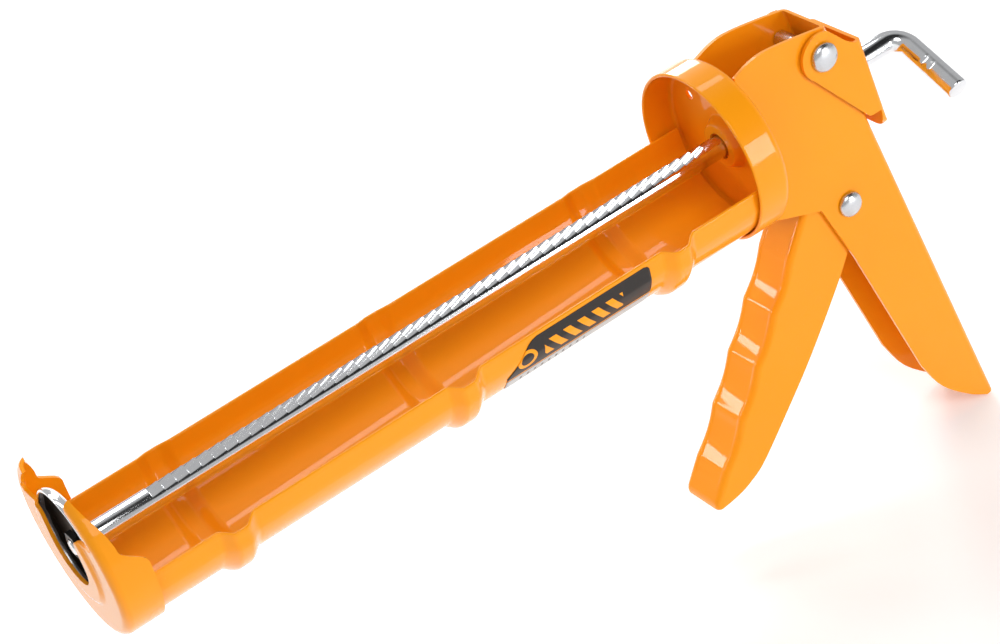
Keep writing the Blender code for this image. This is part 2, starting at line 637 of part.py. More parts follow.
def lever_outline():
    foot = Vector(LEVER_FOOT)
    beyond = 3 * mm
    ear = arc(LEVER_PIVOT, LEVER_EAR, 118, -50, 12)
    shoulder = [(LEVER_TOP[0] - beyond, LEVER_TOP[1])]
    shoulder += [(LEVER_TOP[0] + x, LEVER_TOP[1] + z) for x, z in LEVER_SHOULDER]
    flange_x, flange_rise = LEVER_FLANGE_FOOT
    lip = [(foot.x + flange_x, foot.y + flange_rise), (foot.x + LEVER_FOLD, foot.y + flange_rise),
           (foot.x + LEVER_FOLD, foot.y - LEVER_LIP), (foot.x - beyond, foot.y - LEVER_LIP)]
    return shoulder + ear + lip


def lip_outline(half_width):
    """Rear view (y, z) outline of the lever, whose lip has rounded corners."""
    low = LEVER_FOOT[1] - LEVER_LIP
    corner = LEVER_LIP_CORNER
    right = arc((half_width - corner, low + corner), corner, -90, 0, 5)
    right.append((half_width + PLATE, low + 2 * corner))
    right.append((half_width + PLATE, LEVER_PIVOT[1] + 2 * LEVER_EAR))
    return right + [(-y, z) for y, z in reversed(right)]


def make_release_lever():
    top = Vector(LEVER_TOP)
    foot = Vector(LEVER_FOOT)
    slope = (foot - top).normalized()
    start = top - slope * 2 * LEVER_EAR
    end = foot + slope * 2 * LEVER_LIP
    half_width = FRAME_HALF_WIDTH + LEVER_SIDE_PLAY + PLATE
    bm = channel(tuple(start), tuple(end), half_width, PLATE, LEVER_FOLD, -40 * mm)
    pivot = (LEVER_PIVOT[0], 0.0, LEVER_PIVOT[1])
    lever = add_piece("release_lever", bm, ORANGE, pivot)
    side = prism(lever_outline(), half_width + PLATE)
    combine(lever, add_cutter("release_lever_outline", side), "INTERSECT")
    ends = (LEVER_FOOT[0] - LEVER_EAR, LEVER_PIVOT[0] + 2 * LEVER_EAR)
    rear = loft([[(x, y, z) for y, z in lip_outline(half_width)] for x in ends])
    combine(lever, add_cutter("release_lever_lip_outline", rear), "INTERSECT")
    cut_cross_hole(lever, LEVER_PIVOT, LEVER_RIVET_RADIUS + FIT, 2 * half_width)
    hole_z = LEVER_HOLE - ROD_RADIUS - LEVER_CATCH_GAP
    web_x = (LEVER_TOP[0] + LEVER_FOOT[0]) / 2
    cut_along_hole(lever, (0.0, hole_z), LEVER_HOLE, web_x - 6 * mm, web_x + 6 * mm)


# ---------------------------------------------------------------- springs

def wire(points, radius, sides=6):
    """Round wire along a list of Vectors, with flat ends."""
    rings = []
    normal = None
    for i, point in enumerate(points):
        before = points[max(i - 1, 0)]
        after = points[min(i + 1, len(points) - 1)]
        tangent = (after - before).normalized()
        if normal is None:
            normal = tangent.orthogonal().normalized()
        normal = (normal - tangent * normal.dot(tangent)).normalized()
        side = tangent.cross(normal)
        turn = [2 * pi * k / sides for k in range(sides)]
        rings.append([point + radius * (cos(a) * normal + sin(a) * side) for a in turn])
    return loft(rings)


def torsion_spring(centre, radius, wire_radius, room, y_start, angles, legs):
    """Coil round an axis along Y that fills a room, with a straight leg leaving each end."""
    per_turn = 12
    pitch = 2 * wire_radius + COIL_GAP
    start_angle, end_angle = angles
    turns = int((room - 2 * wire_radius) / pitch - (end_angle - start_angle) / 360)
    total = max(turns, 1) * 360 + end_angle - start_angle
    count = int(per_turn * total / 360)
    path = []
    for k in range(count + 1):
        a = radians(start_angle + total * k / count)
        y = y_start + pitch * total / 360 * k / count
        path.append(Vector((centre[0] + radius * cos(a), y, centre[1] + radius * sin(a))))
    first = radians(start_angle)
    last = radians(start_angle + total)
    leave_first = Vector((sin(first), 0, -cos(first)))
    leave_last = Vector((-sin(last), 0, cos(last)))
    return wire([path[0] + leave_first * legs[0]] + path + [path[-1] + leave_last * legs[1]], wire_radius)


def make_springs():
    bush = TRIGGER_RIVET_RADIUS + FIT + BUSH_WALL
    radius = bush + TRIGGER_WIRE + GAP
    half = trigger_half_width() - PLATE
    bm = torsion_spring(TRIGGER_PIVOT, radius, TRIGGER_WIRE, 2 * half * TRIGGER_SPRING_ROOM,
                        TRIGGER_WIRE + 3 * GAP - half, TRIGGER_SPRING_ANGLES, TRIGGER_SPRING_LEGS)
    add_piece("trigger_return_spring", bm, SPRING_STEEL, (TRIGGER_PIVOT[0], 0.0, TRIGGER_PIVOT[1]))

    radius = PAWL_PIN_RADIUS + PAWL_WIRE + GAP
    pawl_side = PAWL_THICK / 2 + GAP
    bm = torsion_spring(PAWL_PIN, radius, PAWL_WIRE, half - pawl_side - GAP, pawl_side + PAWL_WIRE,
                        PAWL_SPRING_ANGLES, PAWL_SPRING_LEGS)
    add_piece("drive_pawl_spring", bm, SPRING_STEEL, (PAWL_PIN[0], 0.0, PAWL_PIN[1]))

    front = frame_rear_x(RELEASE_Z) - GAP - RELEASE_WIRE - 2 * RELEASE_SEAT
    lever_x = LEVER_TOP[0] + (LEVER_FOOT[0] - LEVER_TOP[0]) * (LEVER_TOP[1] - RELEASE_Z) / (
        LEVER_TOP[1] - LEVER_FOOT[1])
    back = lever_x + PLATE + GAP + RELEASE_WIRE + RELEASE_SEAT
    count = 14 * RELEASE_COILS
    path = []
    for k in range(count + 1):
        a = 2 * pi * RELEASE_COILS * k / count
        x = front + (back - front) * k / count
        path.append(Vector((x, RELEASE_RADIUS * cos(a), RELEASE_Z + RELEASE_RADIUS * sin(a))))
    add_piece("release_spring", wire(path, RELEASE_WIRE), SPRING_STEEL)


# ---------------------------------------------------------------- rod and plunger

def plunger_base_x():
    """Back face of the plunger plate."""
    rim = CAP_FACE_X - SHEET - PLUNGER_TRAVEL_GAP
    return rim - PLUNGER_DISH - PLUNGER_SHEET


def rod_section(x, radius, top_limit):
    """Ring round the rod whose top is cut flat at top_limit."""
    ring = []
    for k in range(ROD_SIDES):
        a = 2 * pi * (k + 0.5) / ROD_SIDES
        ring.append(Vector((x, radius * sin(a), min(radius * cos(a), top_limit))))
    return ring


def make_toothed_rod():
    shoulder = plunger_base_x() - GAP - WASHER_THICK - GAP
    tip = plunger_base_x() + PLUNGER_SHEET + GAP + NUT_THICK + SHANK_PROUD
    chamfer = 0.4 * mm
    rings = [rod_section(tip, SHANK_RADIUS - chamfer, SHANK_RADIUS),
             rod_section(tip - chamfer, SHANK_RADIUS, SHANK_RADIUS),
             rod_section(shoulder, SHANK_RADIUS, SHANK_RADIUS),
             rod_section(shoulder, ROD_RADIUS - chamfer, ROD_RADIUS),
             rod_section(shoulder - chamfer, ROD_RADIUS, ROD_RADIUS)]
    teeth = int((TOOTH_FRONT_X - TOOTH_REAR_X) / TOOTH_PITCH)
    for k in range(teeth):
        x = TOOTH_FRONT_X - k * TOOTH_PITCH
        rings.append(rod_section(x, ROD_RADIUS, ROD_RADIUS - TOOTH_DEPTH))
        rings.append(rod_section(x - TOOTH_PITCH + TOOTH_STEP, ROD_RADIUS, ROD_RADIUS))
    rings.insert(5, rod_section(TOOTH_FRONT_X + TOOTH_STEP, ROD_RADIUS, ROD_RADIUS))
    bend_x = HOOK_X + HOOK_BEND
    straight_end = rod_section(bend_x, ROD_RADIUS, ROD_RADIUS)
    drop = radians(HOOK_DROP)
    leg = Vector((0, cos(drop), -sin(drop)))
    axis = Vector((1, 0, 0)).cross(leg)
    centre = Vector((bend_x, 0, 0)) + leg * HOOK_BEND
    steps = 6
    for k in range(steps + 1):
        turn = Matrix.Rotation(radians(-90) * k / steps, 3, axis)
        rings.append([centre + turn @ (point - centre) for point in straight_end])
    last = rings[-1]
    middle = sum(last, Vector()) / len(last)
    run = HOOK_LENGTH - HOOK_BEND
    rings.append([point + leg * (run - HOOK_CHAMFER) for point in last])
    shrink = 1 - HOOK_CHAMFER / ROD_RADIUS
    rings.append([middle + (point - middle) * shrink + leg * run for point in last])
    add_piece("toothed_rod", loft(rings), ZINC)


def make_plunger():
    base = plunger_base_x()
    hole = SHANK_RADIUS + FIT
    rim = base + PLUNGER_SHEET + PLUNGER_DISH
    outer = PLUNGER_EDGE + PLUNGER_SHEET
    back = [(base, hole)] + arc((base + outer, PLUNGER_RADIUS - outer), outer, 180, 90, 5)
    back += [(rim, PLUNGER_RADIUS), (rim, PLUNGER_RADIUS - PLUNGER_SHEET)]
    front = arc((base + outer, PLUNGER_RADIUS - outer), PLUNGER_EDGE, 90, 180, 4)
    front.append((base + PLUNGER_SHEET, hole))
    add_piece("plunger_plate", turned(back + front, 40), ZINC)

    washer_front = base - GAP
    washer_back = washer_front - WASHER_THICK
    ring = [(washer_back, hole), (washer_back, WASHER_RADIUS), (washer_front, WASHER_RADIUS), (washer_front, hole)]
    add_piece("plunger_washer", turned(ring, 32), ZINC)

    nut_back = base + PLUNGER_SHEET + GAP
    nut_front = nut_back + NUT_THICK
    rings = []
    for k in range(24):
        a = 2 * pi * k / 24
        flat = NUT_WIDTH / 2 / cos((a + pi / 6) % (pi / 3) - pi / 6)
        rings.append([(x, r * sin(a), r * cos(a)) for x, r in
                      ((nut_back, hole), (nut_back, flat), (nut_front, flat), (nut_front, hole))])
    add_piece("plunger_nut", loft(rings, loop=True), ZINC)


def place_on_ground():
    """Parent every piece to one empty, moved so that the box's bottom centre is the origin."""
    bpy.context.view_layer.update()
    graph = bpy.context.evaluated_depsgraph_get()
    corners = []
    for piece in bpy.data.objects:
        if piece.hide_render:
            continue
        shape = piece.evaluated_get(graph)
        corners += [shape.matrix_world @ vertex.co for vertex in shape.data.vertices]
    low = [min(corner[i] for corner in corners) for i in range(3)]
    high = [max(corner[i] for corner in corners) for i in range(3)]
    root = bpy.data.objects.new("gun_root", None)
    bpy.context.scene.collection.objects.link(root)
    for piece in list(bpy.data.objects):
        if piece is not root:
            piece.parent = root
    root.location = (-(low[0] + high[0]) / 2, -(low[1] + high[1]) / 2, -low[2])
    bpy.context.view_layer.update()


def main():
    clear_scene()
    make_cradle()
    make_rear_cup()
    make_front_cap()
    make_label()
    make_handle_frame()
    make_lever_rivet()
    make_trigger_rivet()
    make_trigger()
    make_drive_pawl()
    make_release_lever()
    make_springs()
    make_toothed_rod()
    make_plunger()
    place_on_ground()


main()
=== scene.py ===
import json
from math import acos, atan2, cos, degrees, exp, pi, radians, sin, sqrt

import bmesh
import bpy
from mathutils import Matrix, Vector


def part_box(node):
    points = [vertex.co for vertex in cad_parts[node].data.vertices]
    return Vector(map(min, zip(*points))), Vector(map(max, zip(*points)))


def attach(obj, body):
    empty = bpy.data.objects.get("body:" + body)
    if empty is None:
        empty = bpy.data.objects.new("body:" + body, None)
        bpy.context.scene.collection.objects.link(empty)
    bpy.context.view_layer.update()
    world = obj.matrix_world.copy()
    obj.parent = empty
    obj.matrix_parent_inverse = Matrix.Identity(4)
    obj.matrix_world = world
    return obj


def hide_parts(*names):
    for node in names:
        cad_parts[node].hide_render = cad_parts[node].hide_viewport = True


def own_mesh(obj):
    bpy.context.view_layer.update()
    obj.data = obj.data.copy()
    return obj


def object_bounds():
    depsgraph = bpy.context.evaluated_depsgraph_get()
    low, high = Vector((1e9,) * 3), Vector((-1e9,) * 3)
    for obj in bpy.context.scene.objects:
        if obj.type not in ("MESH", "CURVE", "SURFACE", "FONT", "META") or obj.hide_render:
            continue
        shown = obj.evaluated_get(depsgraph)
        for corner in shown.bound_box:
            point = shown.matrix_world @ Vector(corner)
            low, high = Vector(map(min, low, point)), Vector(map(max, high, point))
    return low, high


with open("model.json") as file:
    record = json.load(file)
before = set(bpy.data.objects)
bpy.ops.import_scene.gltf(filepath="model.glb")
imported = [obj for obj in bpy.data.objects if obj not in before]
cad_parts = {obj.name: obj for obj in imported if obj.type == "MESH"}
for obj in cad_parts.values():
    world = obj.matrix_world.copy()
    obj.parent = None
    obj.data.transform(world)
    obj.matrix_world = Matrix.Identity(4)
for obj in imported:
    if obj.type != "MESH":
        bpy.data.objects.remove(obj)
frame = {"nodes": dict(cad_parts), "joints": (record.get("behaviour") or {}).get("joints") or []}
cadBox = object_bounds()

mm = 0.001

# every piece is drawn in the gun's own frame: the rod's axis is X, and X = 0 lies just inside the cup
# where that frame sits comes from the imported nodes
capDepthFromOrigin = 226.5 * mm
washerLow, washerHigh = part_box("plunger_washer")
gunOrigin = Vector((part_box("front_cap")[1].x - capDepthFromOrigin, 0.0, (washerLow.z + washerHigh.z) / 2))


# a node socket that can be used in Python expressions
class Wire:

    def __init__(self, tree, socket):
        self.tree = tree
        self.socket = socket

    def math(self, operation, other, reflected=False):
        node = self.tree.nodes.new("ShaderNodeMath")
        node.operation = operation
        first, second = (other, self) if reflected else (self, other)
        for slotIndex, value in enumerate((first, second)):
            if isinstance(value, Wire):
                self.tree.links.new(value.socket, node.inputs[slotIndex])
            else:
                node.inputs[slotIndex].default_value = value
        return Wire(self.tree, node.outputs[0])

    def __add__(self, other):
        return self.math("ADD", other)

    def __radd__(self, other):
        return self.math("ADD", other, True)

    def __sub__(self, other):
        return self.math("SUBTRACT", other)

    def __rsub__(self, other):
        return self.math("SUBTRACT", other, True)

    def __mul__(self, other):
        return self.math("MULTIPLY", other)

    def __rmul__(self, other):
        return self.math("MULTIPLY", other, True)

    def __truediv__(self, other):
        return self.math("DIVIDE", other)

    def __pow__(self, other):
        return self.math("POWER", other)

    def over(self, limit):
        return self.math("GREATER_THAN", limit)

    def under(self, limit):
        return self.math("LESS_THAN", limit)

    def root(self):
        return self.math("SQRT", 0.0)

    def fraction(self):
        return self.math("FRACT", 0.0)


# a material in the making: nodes come from node(), and the Principled shader is set at the end
class Finish:

    def __init__(self, name):
        self.material = bpy.data.materials.new(name)
        self.material.use_nodes = True
        self.tree = self.material.node_tree
        self.shader = self.tree.nodes["Principled BSDF"]

    def node(self, kind, settings=None, output=0, **sockets):
        node = self.tree.nodes.new("ShaderNode" + kind)
        for key, value in (settings or {}).items():
            if key == "stops":
                ramp = node.color_ramp
                while len(ramp.elements) < len(value):
                    ramp.elements.new(0.5)
                for element, (place, colour) in zip(ramp.elements, value):
                    element.position = place
                    element.color = colour
            else:
                setattr(node, key, value)
        for key, value in sockets.items():
            if key.startswith("at"):
                socket = node.inputs[int(key[2:])]
            else:
                socket = node.inputs[key]
            self.feed(socket, value)
        return Wire(self.tree, node.outputs[output])

    def feed(self, socket, value):
        if isinstance(value, Wire):
            self.tree.links.new(value.socket, socket)
        else:
            socket.default_value = value

    def place(self):
        return self.node("TexCoord", output=3)

    def axes(self, vector):
        split = self.node("SeparateXYZ", Vector=vector)
        return [Wire(self.tree, output) for output in split.socket.node.outputs]

    # features about size metres across, stretched along an axis where asked
    def noise(self, size, detail=3.0, roughness=0.5, stretch=(1, 1, 1)):
        scaled = self.node("Mapping", Vector=self.place(), Scale=tuple(1 / (size * s) for s in stretch))
        return self.node("TexNoise", Vector=scaled, Scale=1.0, Detail=detail, Roughness=roughness)

    # 0 below low, 1 above high
    def rise(self, value, low, high):
        return self.node("MapRange", Value=value, at1=low, at2=high, at3=0.0, at4=1.0)

    # colour between first and second by factor
    def tint(self, factor, first, second):
        return self.node("Mix", {"data_type": "RGBA"}, 2, at0=factor, at6=first, at7=second)

    def bump(self, height, distance, strength=1.0):
        return self.node("Bump", Height=height, Distance=distance, Strength=strength)

    def finish(self, **values):
        for key, value in values.items():
            self.feed(self.shader.inputs[key.replace("_", " ")], value)
        return self.material


coat = {
    "colour": (0.98, 0.345, 0.004, 1),
    "deep": (0.95, 0.305, 0.002, 1),
    "dust": (1.0, 0.62, 0.25, 1),
    "peel": 1.3 * mm,             # size of the powder coat's orange peel
    "peelHeight": 0.012 * mm,
    "roughness": 0.42,
    "gloss": 0.05,                # roughness of the clear top of the coat
    "clearIor": 1.26,
    "specular": 0.12,
}


def orangeCoat():
    m = Finish("orangeCoat")
    broad = m.noise(30 * mm, 2)
    fine = m.noise(coat["peel"], 2, 0.4)
    grit = m.noise(0.4 * mm, 1)
    dust = m.rise(m.noise(0.9 * mm, 2, 0.7), 0.70, 0.76)
    colour = m.tint(broad * 0.7, coat["colour"], coat["deep"])
    colour = m.tint(dust * 0.10, colour, coat["dust"])
    height = fine * 0.8 + grit * 0.12
    return m.finish(Base_Color=colour, Roughness=coat["roughness"] + broad * 0.06 + fine * 0.05,
                    Normal=m.bump(height, coat["peelHeight"], 0.6), Coat_Weight=1.0 - dust * 0.3,
                    Coat_Roughness=coat["gloss"], Coat_IOR=coat["clearIor"],
                    Specular_IOR_Level=coat["specular"])


plating = {
    # two colours, roughness, streaks along each axis, then the grain's size and depth
    "brightRodPlating": ((0.86, 0.87, 0.89, 1), (0.72, 0.73, 0.75, 1), 0.09, (40, 1, 1), 0.5 * mm, 0.01 * mm),
    "zincPlating": ((0.74, 0.75, 0.77, 1), (0.52, 0.53, 0.56, 1), 0.20, (6, 1, 1), 0.5 * mm, 0.02 * mm),
    "darkSteel": ((0.30, 0.29, 0.28, 1), (0.17, 0.16, 0.15, 1), 0.34, (1, 1, 8), 0.6 * mm, 0.02 * mm),
    "blackenedSteel": ((0.06, 0.058, 0.055, 1), (0.03, 0.03, 0.03, 1), 0.28, (1, 1, 4), 0.6 * mm, 0.02 * mm),
    "springWire": ((0.46, 0.46, 0.47, 1), (0.30, 0.30, 0.31, 1), 0.26, (1, 5, 1), 0.3 * mm, 0.01 * mm),
}


# plated or bare steel: streaks of drawing or rolling, cloudy plating and fine scratches
def metalFinish(name):
    colour, dark, roughness, streak, grain, depth = plating[name]
    m = Finish(name)
    cloud = m.noise(4 * mm, 3)
    drawn = m.noise(grain, 3, 0.6, streak)
    scratch = m.noise(grain * 0.5, 2, 0.7, (streak[2] * 0.6, streak[0], streak[1]))
    marks = m.rise(scratch, 0.58, 0.72)
    tone = m.tint(cloud * 0.6 + drawn * 0.4, colour, dark)
    return m.finish(Base_Color=tone, Metallic=1.0, Roughness=roughness + drawn * 0.10 + marks * 0.12,
                    Normal=m.bump(drawn * 0.7 + marks * 0.3, depth, 0.5))


sticker = {
    "panel": (0.022, 0.019, 0.018, 1),
    "panelCloud": (0.040, 0.034, 0.030, 1),
    "strip": (0.50, 0.50, 0.50, 1),
    "stripe": (1.0, 0.36, 0.006, 1),
    "stripHeight": 6.0 * mm,
    "barWidth": 2.6 * mm,
    "barPitch": 5.0 * mm,
    "ring": (2.2 * mm, 3.4 * mm),
    "ringPlace": (7.0 * mm, 0.66),          # from the nozzle end, and as a share of the height
    "tickPitch": 2.5 * mm,
}


# printed film: dark panel with a row of slanted bars and a ring, over a pale strip with fine ticks
def stickerFilm(length, height):
    m = Finish("stickerFilm")
    u, v, _ = m.axes(m.node("UVMap", {"uv_map": "film"}))
    slanted = u + v * 0.7
    inBar = (slanted / sticker["barPitch"]).fraction().under(sticker["barWidth"] / sticker["barPitch"])
    row = v.over(sticker["stripHeight"] + 3.0 * mm) * v.under(height - 3.4 * mm)
    row = row * u.over(13 * mm) * u.under(0.80 * length)
    ringU, ringV = sticker["ringPlace"]
    ring = ((u - ringU) ** 2.0 + (v - ringV * height) ** 2.0).root()
    badge = ring.under(sticker["ring"][1]) * ring.over(sticker["ring"][0])
    strip = v.under(sticker["stripHeight"])
    ticks = (u / sticker["tickPitch"]).fraction().under(0.3) * v.under(4.2 * mm) * v.over(2.0 * mm)
    ticks = ticks * u.over(4 * mm) * u.under(0.55 * length)
    line = v.under(sticker["stripHeight"] + 0.9 * mm) * v.over(sticker["stripHeight"] + 0.4 * mm)
    ink = m.noise(0.5 * mm, 2)
    panel = m.tint(ink * 0.5, sticker["panel"], sticker["panelCloud"])
    colour = m.tint(inBar * row + badge, panel, sticker["stripe"])
    colour = m.tint(line, colour, sticker["stripe"])
    colour = m.tint(strip, colour, sticker["strip"])
    colour = m.tint(strip * ticks, colour, sticker["panel"])
    return m.finish(Base_Color=colour, Roughness=0.30 + ink * 0.08, Specular_IOR_Level=0.25,
                    Normal=m.bump(ink, 0.008 * mm, 0.4))


dish = {
    # near-black colours painted on the dish's face as a painted dark reflection
    "paintedDarkReflection": (0.018, 0.017, 0.016, 1),
    "paintedDarkReflectionCloud": (0.035, 0.033, 0.03, 1),
    "rimStart": (16.6 * mm, 17.2 * mm),     # the painted dark reflection fades into the bright rim between these radii
    "faceDepth": 0.6 * mm,                  # the painted dark reflection stays on the face, the back is bright
}


# bright pressed rim round a middle painted near-black as a painted dark reflection
def dishFinish():
    m = Finish("dishWithPaintedDarkReflection")
    x, y, z = m.axes(m.place())
    z = z - gunOrigin.z
    behind = x.under(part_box("plunger_plate")[0].x + dish["faceDepth"])
    reach = (y ** 2.0 + z ** 2.0).root()
    cloud = m.noise(3 * mm, 3)
    bright = m.rise(reach + cloud * 0.4 * mm, *dish["rimStart"])
    bright = bright.math("MAXIMUM", behind)
    # painted dark reflection: the face inside the rim gets a near-black colour and little metal
    dark = m.tint(cloud * 0.6, dish["paintedDarkReflection"], dish["paintedDarkReflectionCloud"])
    colour = m.tint(bright, dark, plating["brightRodPlating"][0])
    return m.finish(Base_Color=colour, Metallic=bright * 0.9 + 0.1,
                    Roughness=0.34 - bright * 0.22, Normal=m.bump(cloud, 0.01 * mm, 0.4))


orange = orangeCoat()
brightRod = metalFinish("brightRodPlating")
dishWithPaintedDarkReflection = dishFinish()
zinc = metalFinish("zincPlating")
darkSteel = metalFinish("darkSteel")
blackenedSteel = metalFinish("blackenedSteel")
springWire = metalFinish("springWire")
print("finishes made")


# a bmesh in the gun's frame becomes a piece that rides on a body and stands for a CAD node
def addPiece(name, bm, material, body, node, sharp=35, place=True):
    bmesh.ops.recalc_face_normals(bm, faces=bm.faces)
    if place:
        bmesh.ops.translate(bm, verts=bm.verts, vec=gunOrigin)
    mesh = bpy.data.meshes.new(name)
    bm.to_mesh(mesh)
    bm.free()
    piece = bpy.data.objects.new(name, mesh)
    bpy.context.scene.collection.objects.link(piece)
    mesh.materials.append(material)
    mesh.shade_smooth()
    mesh.set_sharp_from_angle(angle=radians(sharp))
    if body:
        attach(piece, body)
        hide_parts(node)
    return piece


# round the sheet's cut edges, then keep the flats looking flat
def roundEdges(piece, width, segments=3, limit=38):
    bevel = piece.modifiers.new("roundedEdges", "BEVEL")
    bevel.width = width
    bevel.segments = segments
    bevel.limit_method = "ANGLE"
    bevel.angle_limit = radians(limit)
    bevel.use_clamp_overlap = True
    bevel.miter_outer = "MITER_ARC"
    flat = piece.modifiers.new("flatFaces", "WEIGHTED_NORMAL")
    flat.keep_sharp = False
    flat.weight = 60
    return piece


# boolean by a cutter that is removed once its cut is applied
def cutWith(piece, bm, operation="DIFFERENCE"):
    cutter = addPiece(piece.name + "Cutter", bm, orange, None, None)
    boolean = piece.modifiers.new("cut", "BOOLEAN")
    boolean.operation = operation
    boolean.object = cutter
    boolean.solver = "EXACT"
    graph = bpy.context.evaluated_depsgraph_get()
    mesh = bpy.data.meshes.new_from_object(piece.evaluated_get(graph))
    piece.modifiers.remove(boolean)
    piece.data = mesh
    bpy.data.objects.remove(cutter, do_unlink=True)
    return piece


def loft(rings, loop=False):
    bm = bmesh.new()
    rows = [[bm.verts.new(point) for point in ring] for ring in rings]
    pairs = list(zip(rows, rows[1:])) + ([(rows[-1], rows[0])] if loop else [])
    count = len(rows[0])
    for first, second in pairs:
        for i in range(count):
            j = (i + 1) % count
            bm.faces.new((first[i], first[j], second[j], second[i]))
    if not loop:
        bm.faces.new(rows[0])
        bm.faces.new(reversed(rows[-1]))
    return bm


# closed (x, radius) profile turned about the rod's axis
def turned(profile, sides):
    rings = []
    for k in range(sides):
        a = 2 * pi * k / sides
        rings.append([(x, r * sin(a), r * cos(a)) for x, r in profile])
    return loft(rings, loop=True)


# closed (y, radius) profile turned about an axis along Y through centre (x, z)
def crossTurned(centre, profile, sides):
    rings = []
    for k in range(sides):
        a = 2 * pi * k / sides
        rings.append([(centre[0] + r * cos(a), y, centre[1] + r * sin(a)) for y, r in profile])
    return loft(rings, loop=True)


def arcPoints(centre, radius, start, end, steps):
    points = []
    for k in range(steps + 1):
        a = radians(start + (end - start) * k / steps)
        points.append((centre[0] + radius * cos(a), centre[1] + radius * sin(a)))
    return points


def easeIn(t):
    t = min(max(t, 0.0), 1.0)
    return t * t * (3 - 2 * t)


# the CAD node's own shape with its flats rejoined and its cut edges rounded
def refinedCopy(node, name, material, body, width, segments=3, limit=38, sharp=30):
    source = frame["nodes"][node]
    bm = bmesh.new()
    bm.from_mesh(source.data)
    bmesh.ops.remove_doubles(bm, verts=bm.verts, dist=1e-6)
    bmesh.ops.dissolve_limit(bm, angle_limit=radians(0.6), verts=bm.verts, edges=bm.edges)
    piece = addPiece(name, bm, material, body, node, sharp, place=False)
    return roundEdges(piece, width, segments, limit)


# middle of a node's box in the gun's frame, as (x, z)
def centreOf(node):
    low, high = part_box(node)
    middle = (low + high) / 2 - gunOrigin
    return middle.x, middle.z


cradle = {
    "sheet": 1.1 * mm,
    "radius": 26.0 * mm,
    "halfWidth": 25.0 * mm,
    "topZ": -3.0 * mm,
    "bendZ": -9.6 * mm,
    "flatSteps": 4,
    "arcSteps": 30,
    "ribPlaces": (38.05 * mm, 113.02 * mm, 187.99 * mm),
    "ribHalfLength": 6.2 * mm,
    "ribCrown": 1.4 * mm,
    "ribHeight": 2.6 * mm,
    "ribDip": 1.4 * mm,           # how far the top edges dip at each rib
    "rampSteps": 14,
}


# outer or inner line of the cradle's section from the left top edge down to the bottom
def barrelHalf(outset, wall, dip):
    radius = cradle["radius"] + outset - wall
    top = cradle["halfWidth"] + outset - wall
    topZ = cradle["topZ"] - dip
    lowest = atan2(-cradle["bendZ"], sqrt(cradle["radius"] ** 2 - cradle["bendZ"] ** 2))
    bendY = radius * cos(lowest)
    bendZ = -radius * sin(lowest)
    line = []
    for k in range(cradle["flatSteps"]):
        t = k / cradle["flatSteps"]
        line.append((top + (bendY - top) * t, topZ + (bendZ - topZ) * t))
    for k in range(cradle["arcSteps"] + 1):
        a = lowest + (pi / 2 - lowest) * k / cradle["arcSteps"]
        line.append((radius * cos(a), -radius * sin(a)))
    return line


# closed ring of the sheet's section, with rounded top edges
def sectionRing(x, rise):
    outset = cradle["ribHeight"] * rise
    dip = cradle["ribDip"] * rise
    outer = barrelHalf(outset, 0.0, dip)
    inner = barrelHalf(outset, cradle["sheet"], dip)
    half = cradle["sheet"] / 2
    middleY = outer[0][0] - half
    lip = arcPoints((middleY, cradle["topZ"] - dip), half, 180, 0, 6)[1:-1]
    left = list(reversed(inner)) + lip + outer
    right = [(-y, z) for y, z in outer[:-1]]
    ring = left + list(reversed(right))
    ring += [(-y, z) for y, z in reversed(lip)] + [(-y, z) for y, z in inner[:-1]]
    return [(x, y, z - half) if z > cradle["topZ"] - dip - half else (x, y, z) for y, z in ring]


def buildCradle():
    low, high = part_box("cradle")
    stations = [(low.x - gunOrigin.x, 0.0)]
    for place in cradle["ribPlaces"]:
        run = cradle["ribHalfLength"] - cradle["ribCrown"]
        steps = cradle["rampSteps"]
        for k in range(steps + 1):
            stations.append((place - cradle["ribHalfLength"] + run * k / steps, easeIn(k / steps)))
        for k in range(steps + 1):
            stations.append((place + cradle["ribCrown"] + run * k / steps, easeIn(1 - k / steps)))
    stations.append((high.x - gunOrigin.x, 0.0))
    bm = loft([sectionRing(x, rise) for x, rise in stations])
    addPiece("cradleShell", bm, orange, "frame", "cradle", 40)


buildCradle()
print("cradle made")


cup = {
    "sheet": 1.1 * mm,
    "fillet": 2.6 * mm,
    "bossRadius": 9.0 * mm,
    "bossHeight": 3.2 * mm,
    "bossSlope": 2.4 * mm,
    "bore": 4.2 * mm,
    "ventRadius": 1.6 * mm,
    "ventPlace": (-14.9 * mm, 11.1 * mm),
    "sides": 160,
}


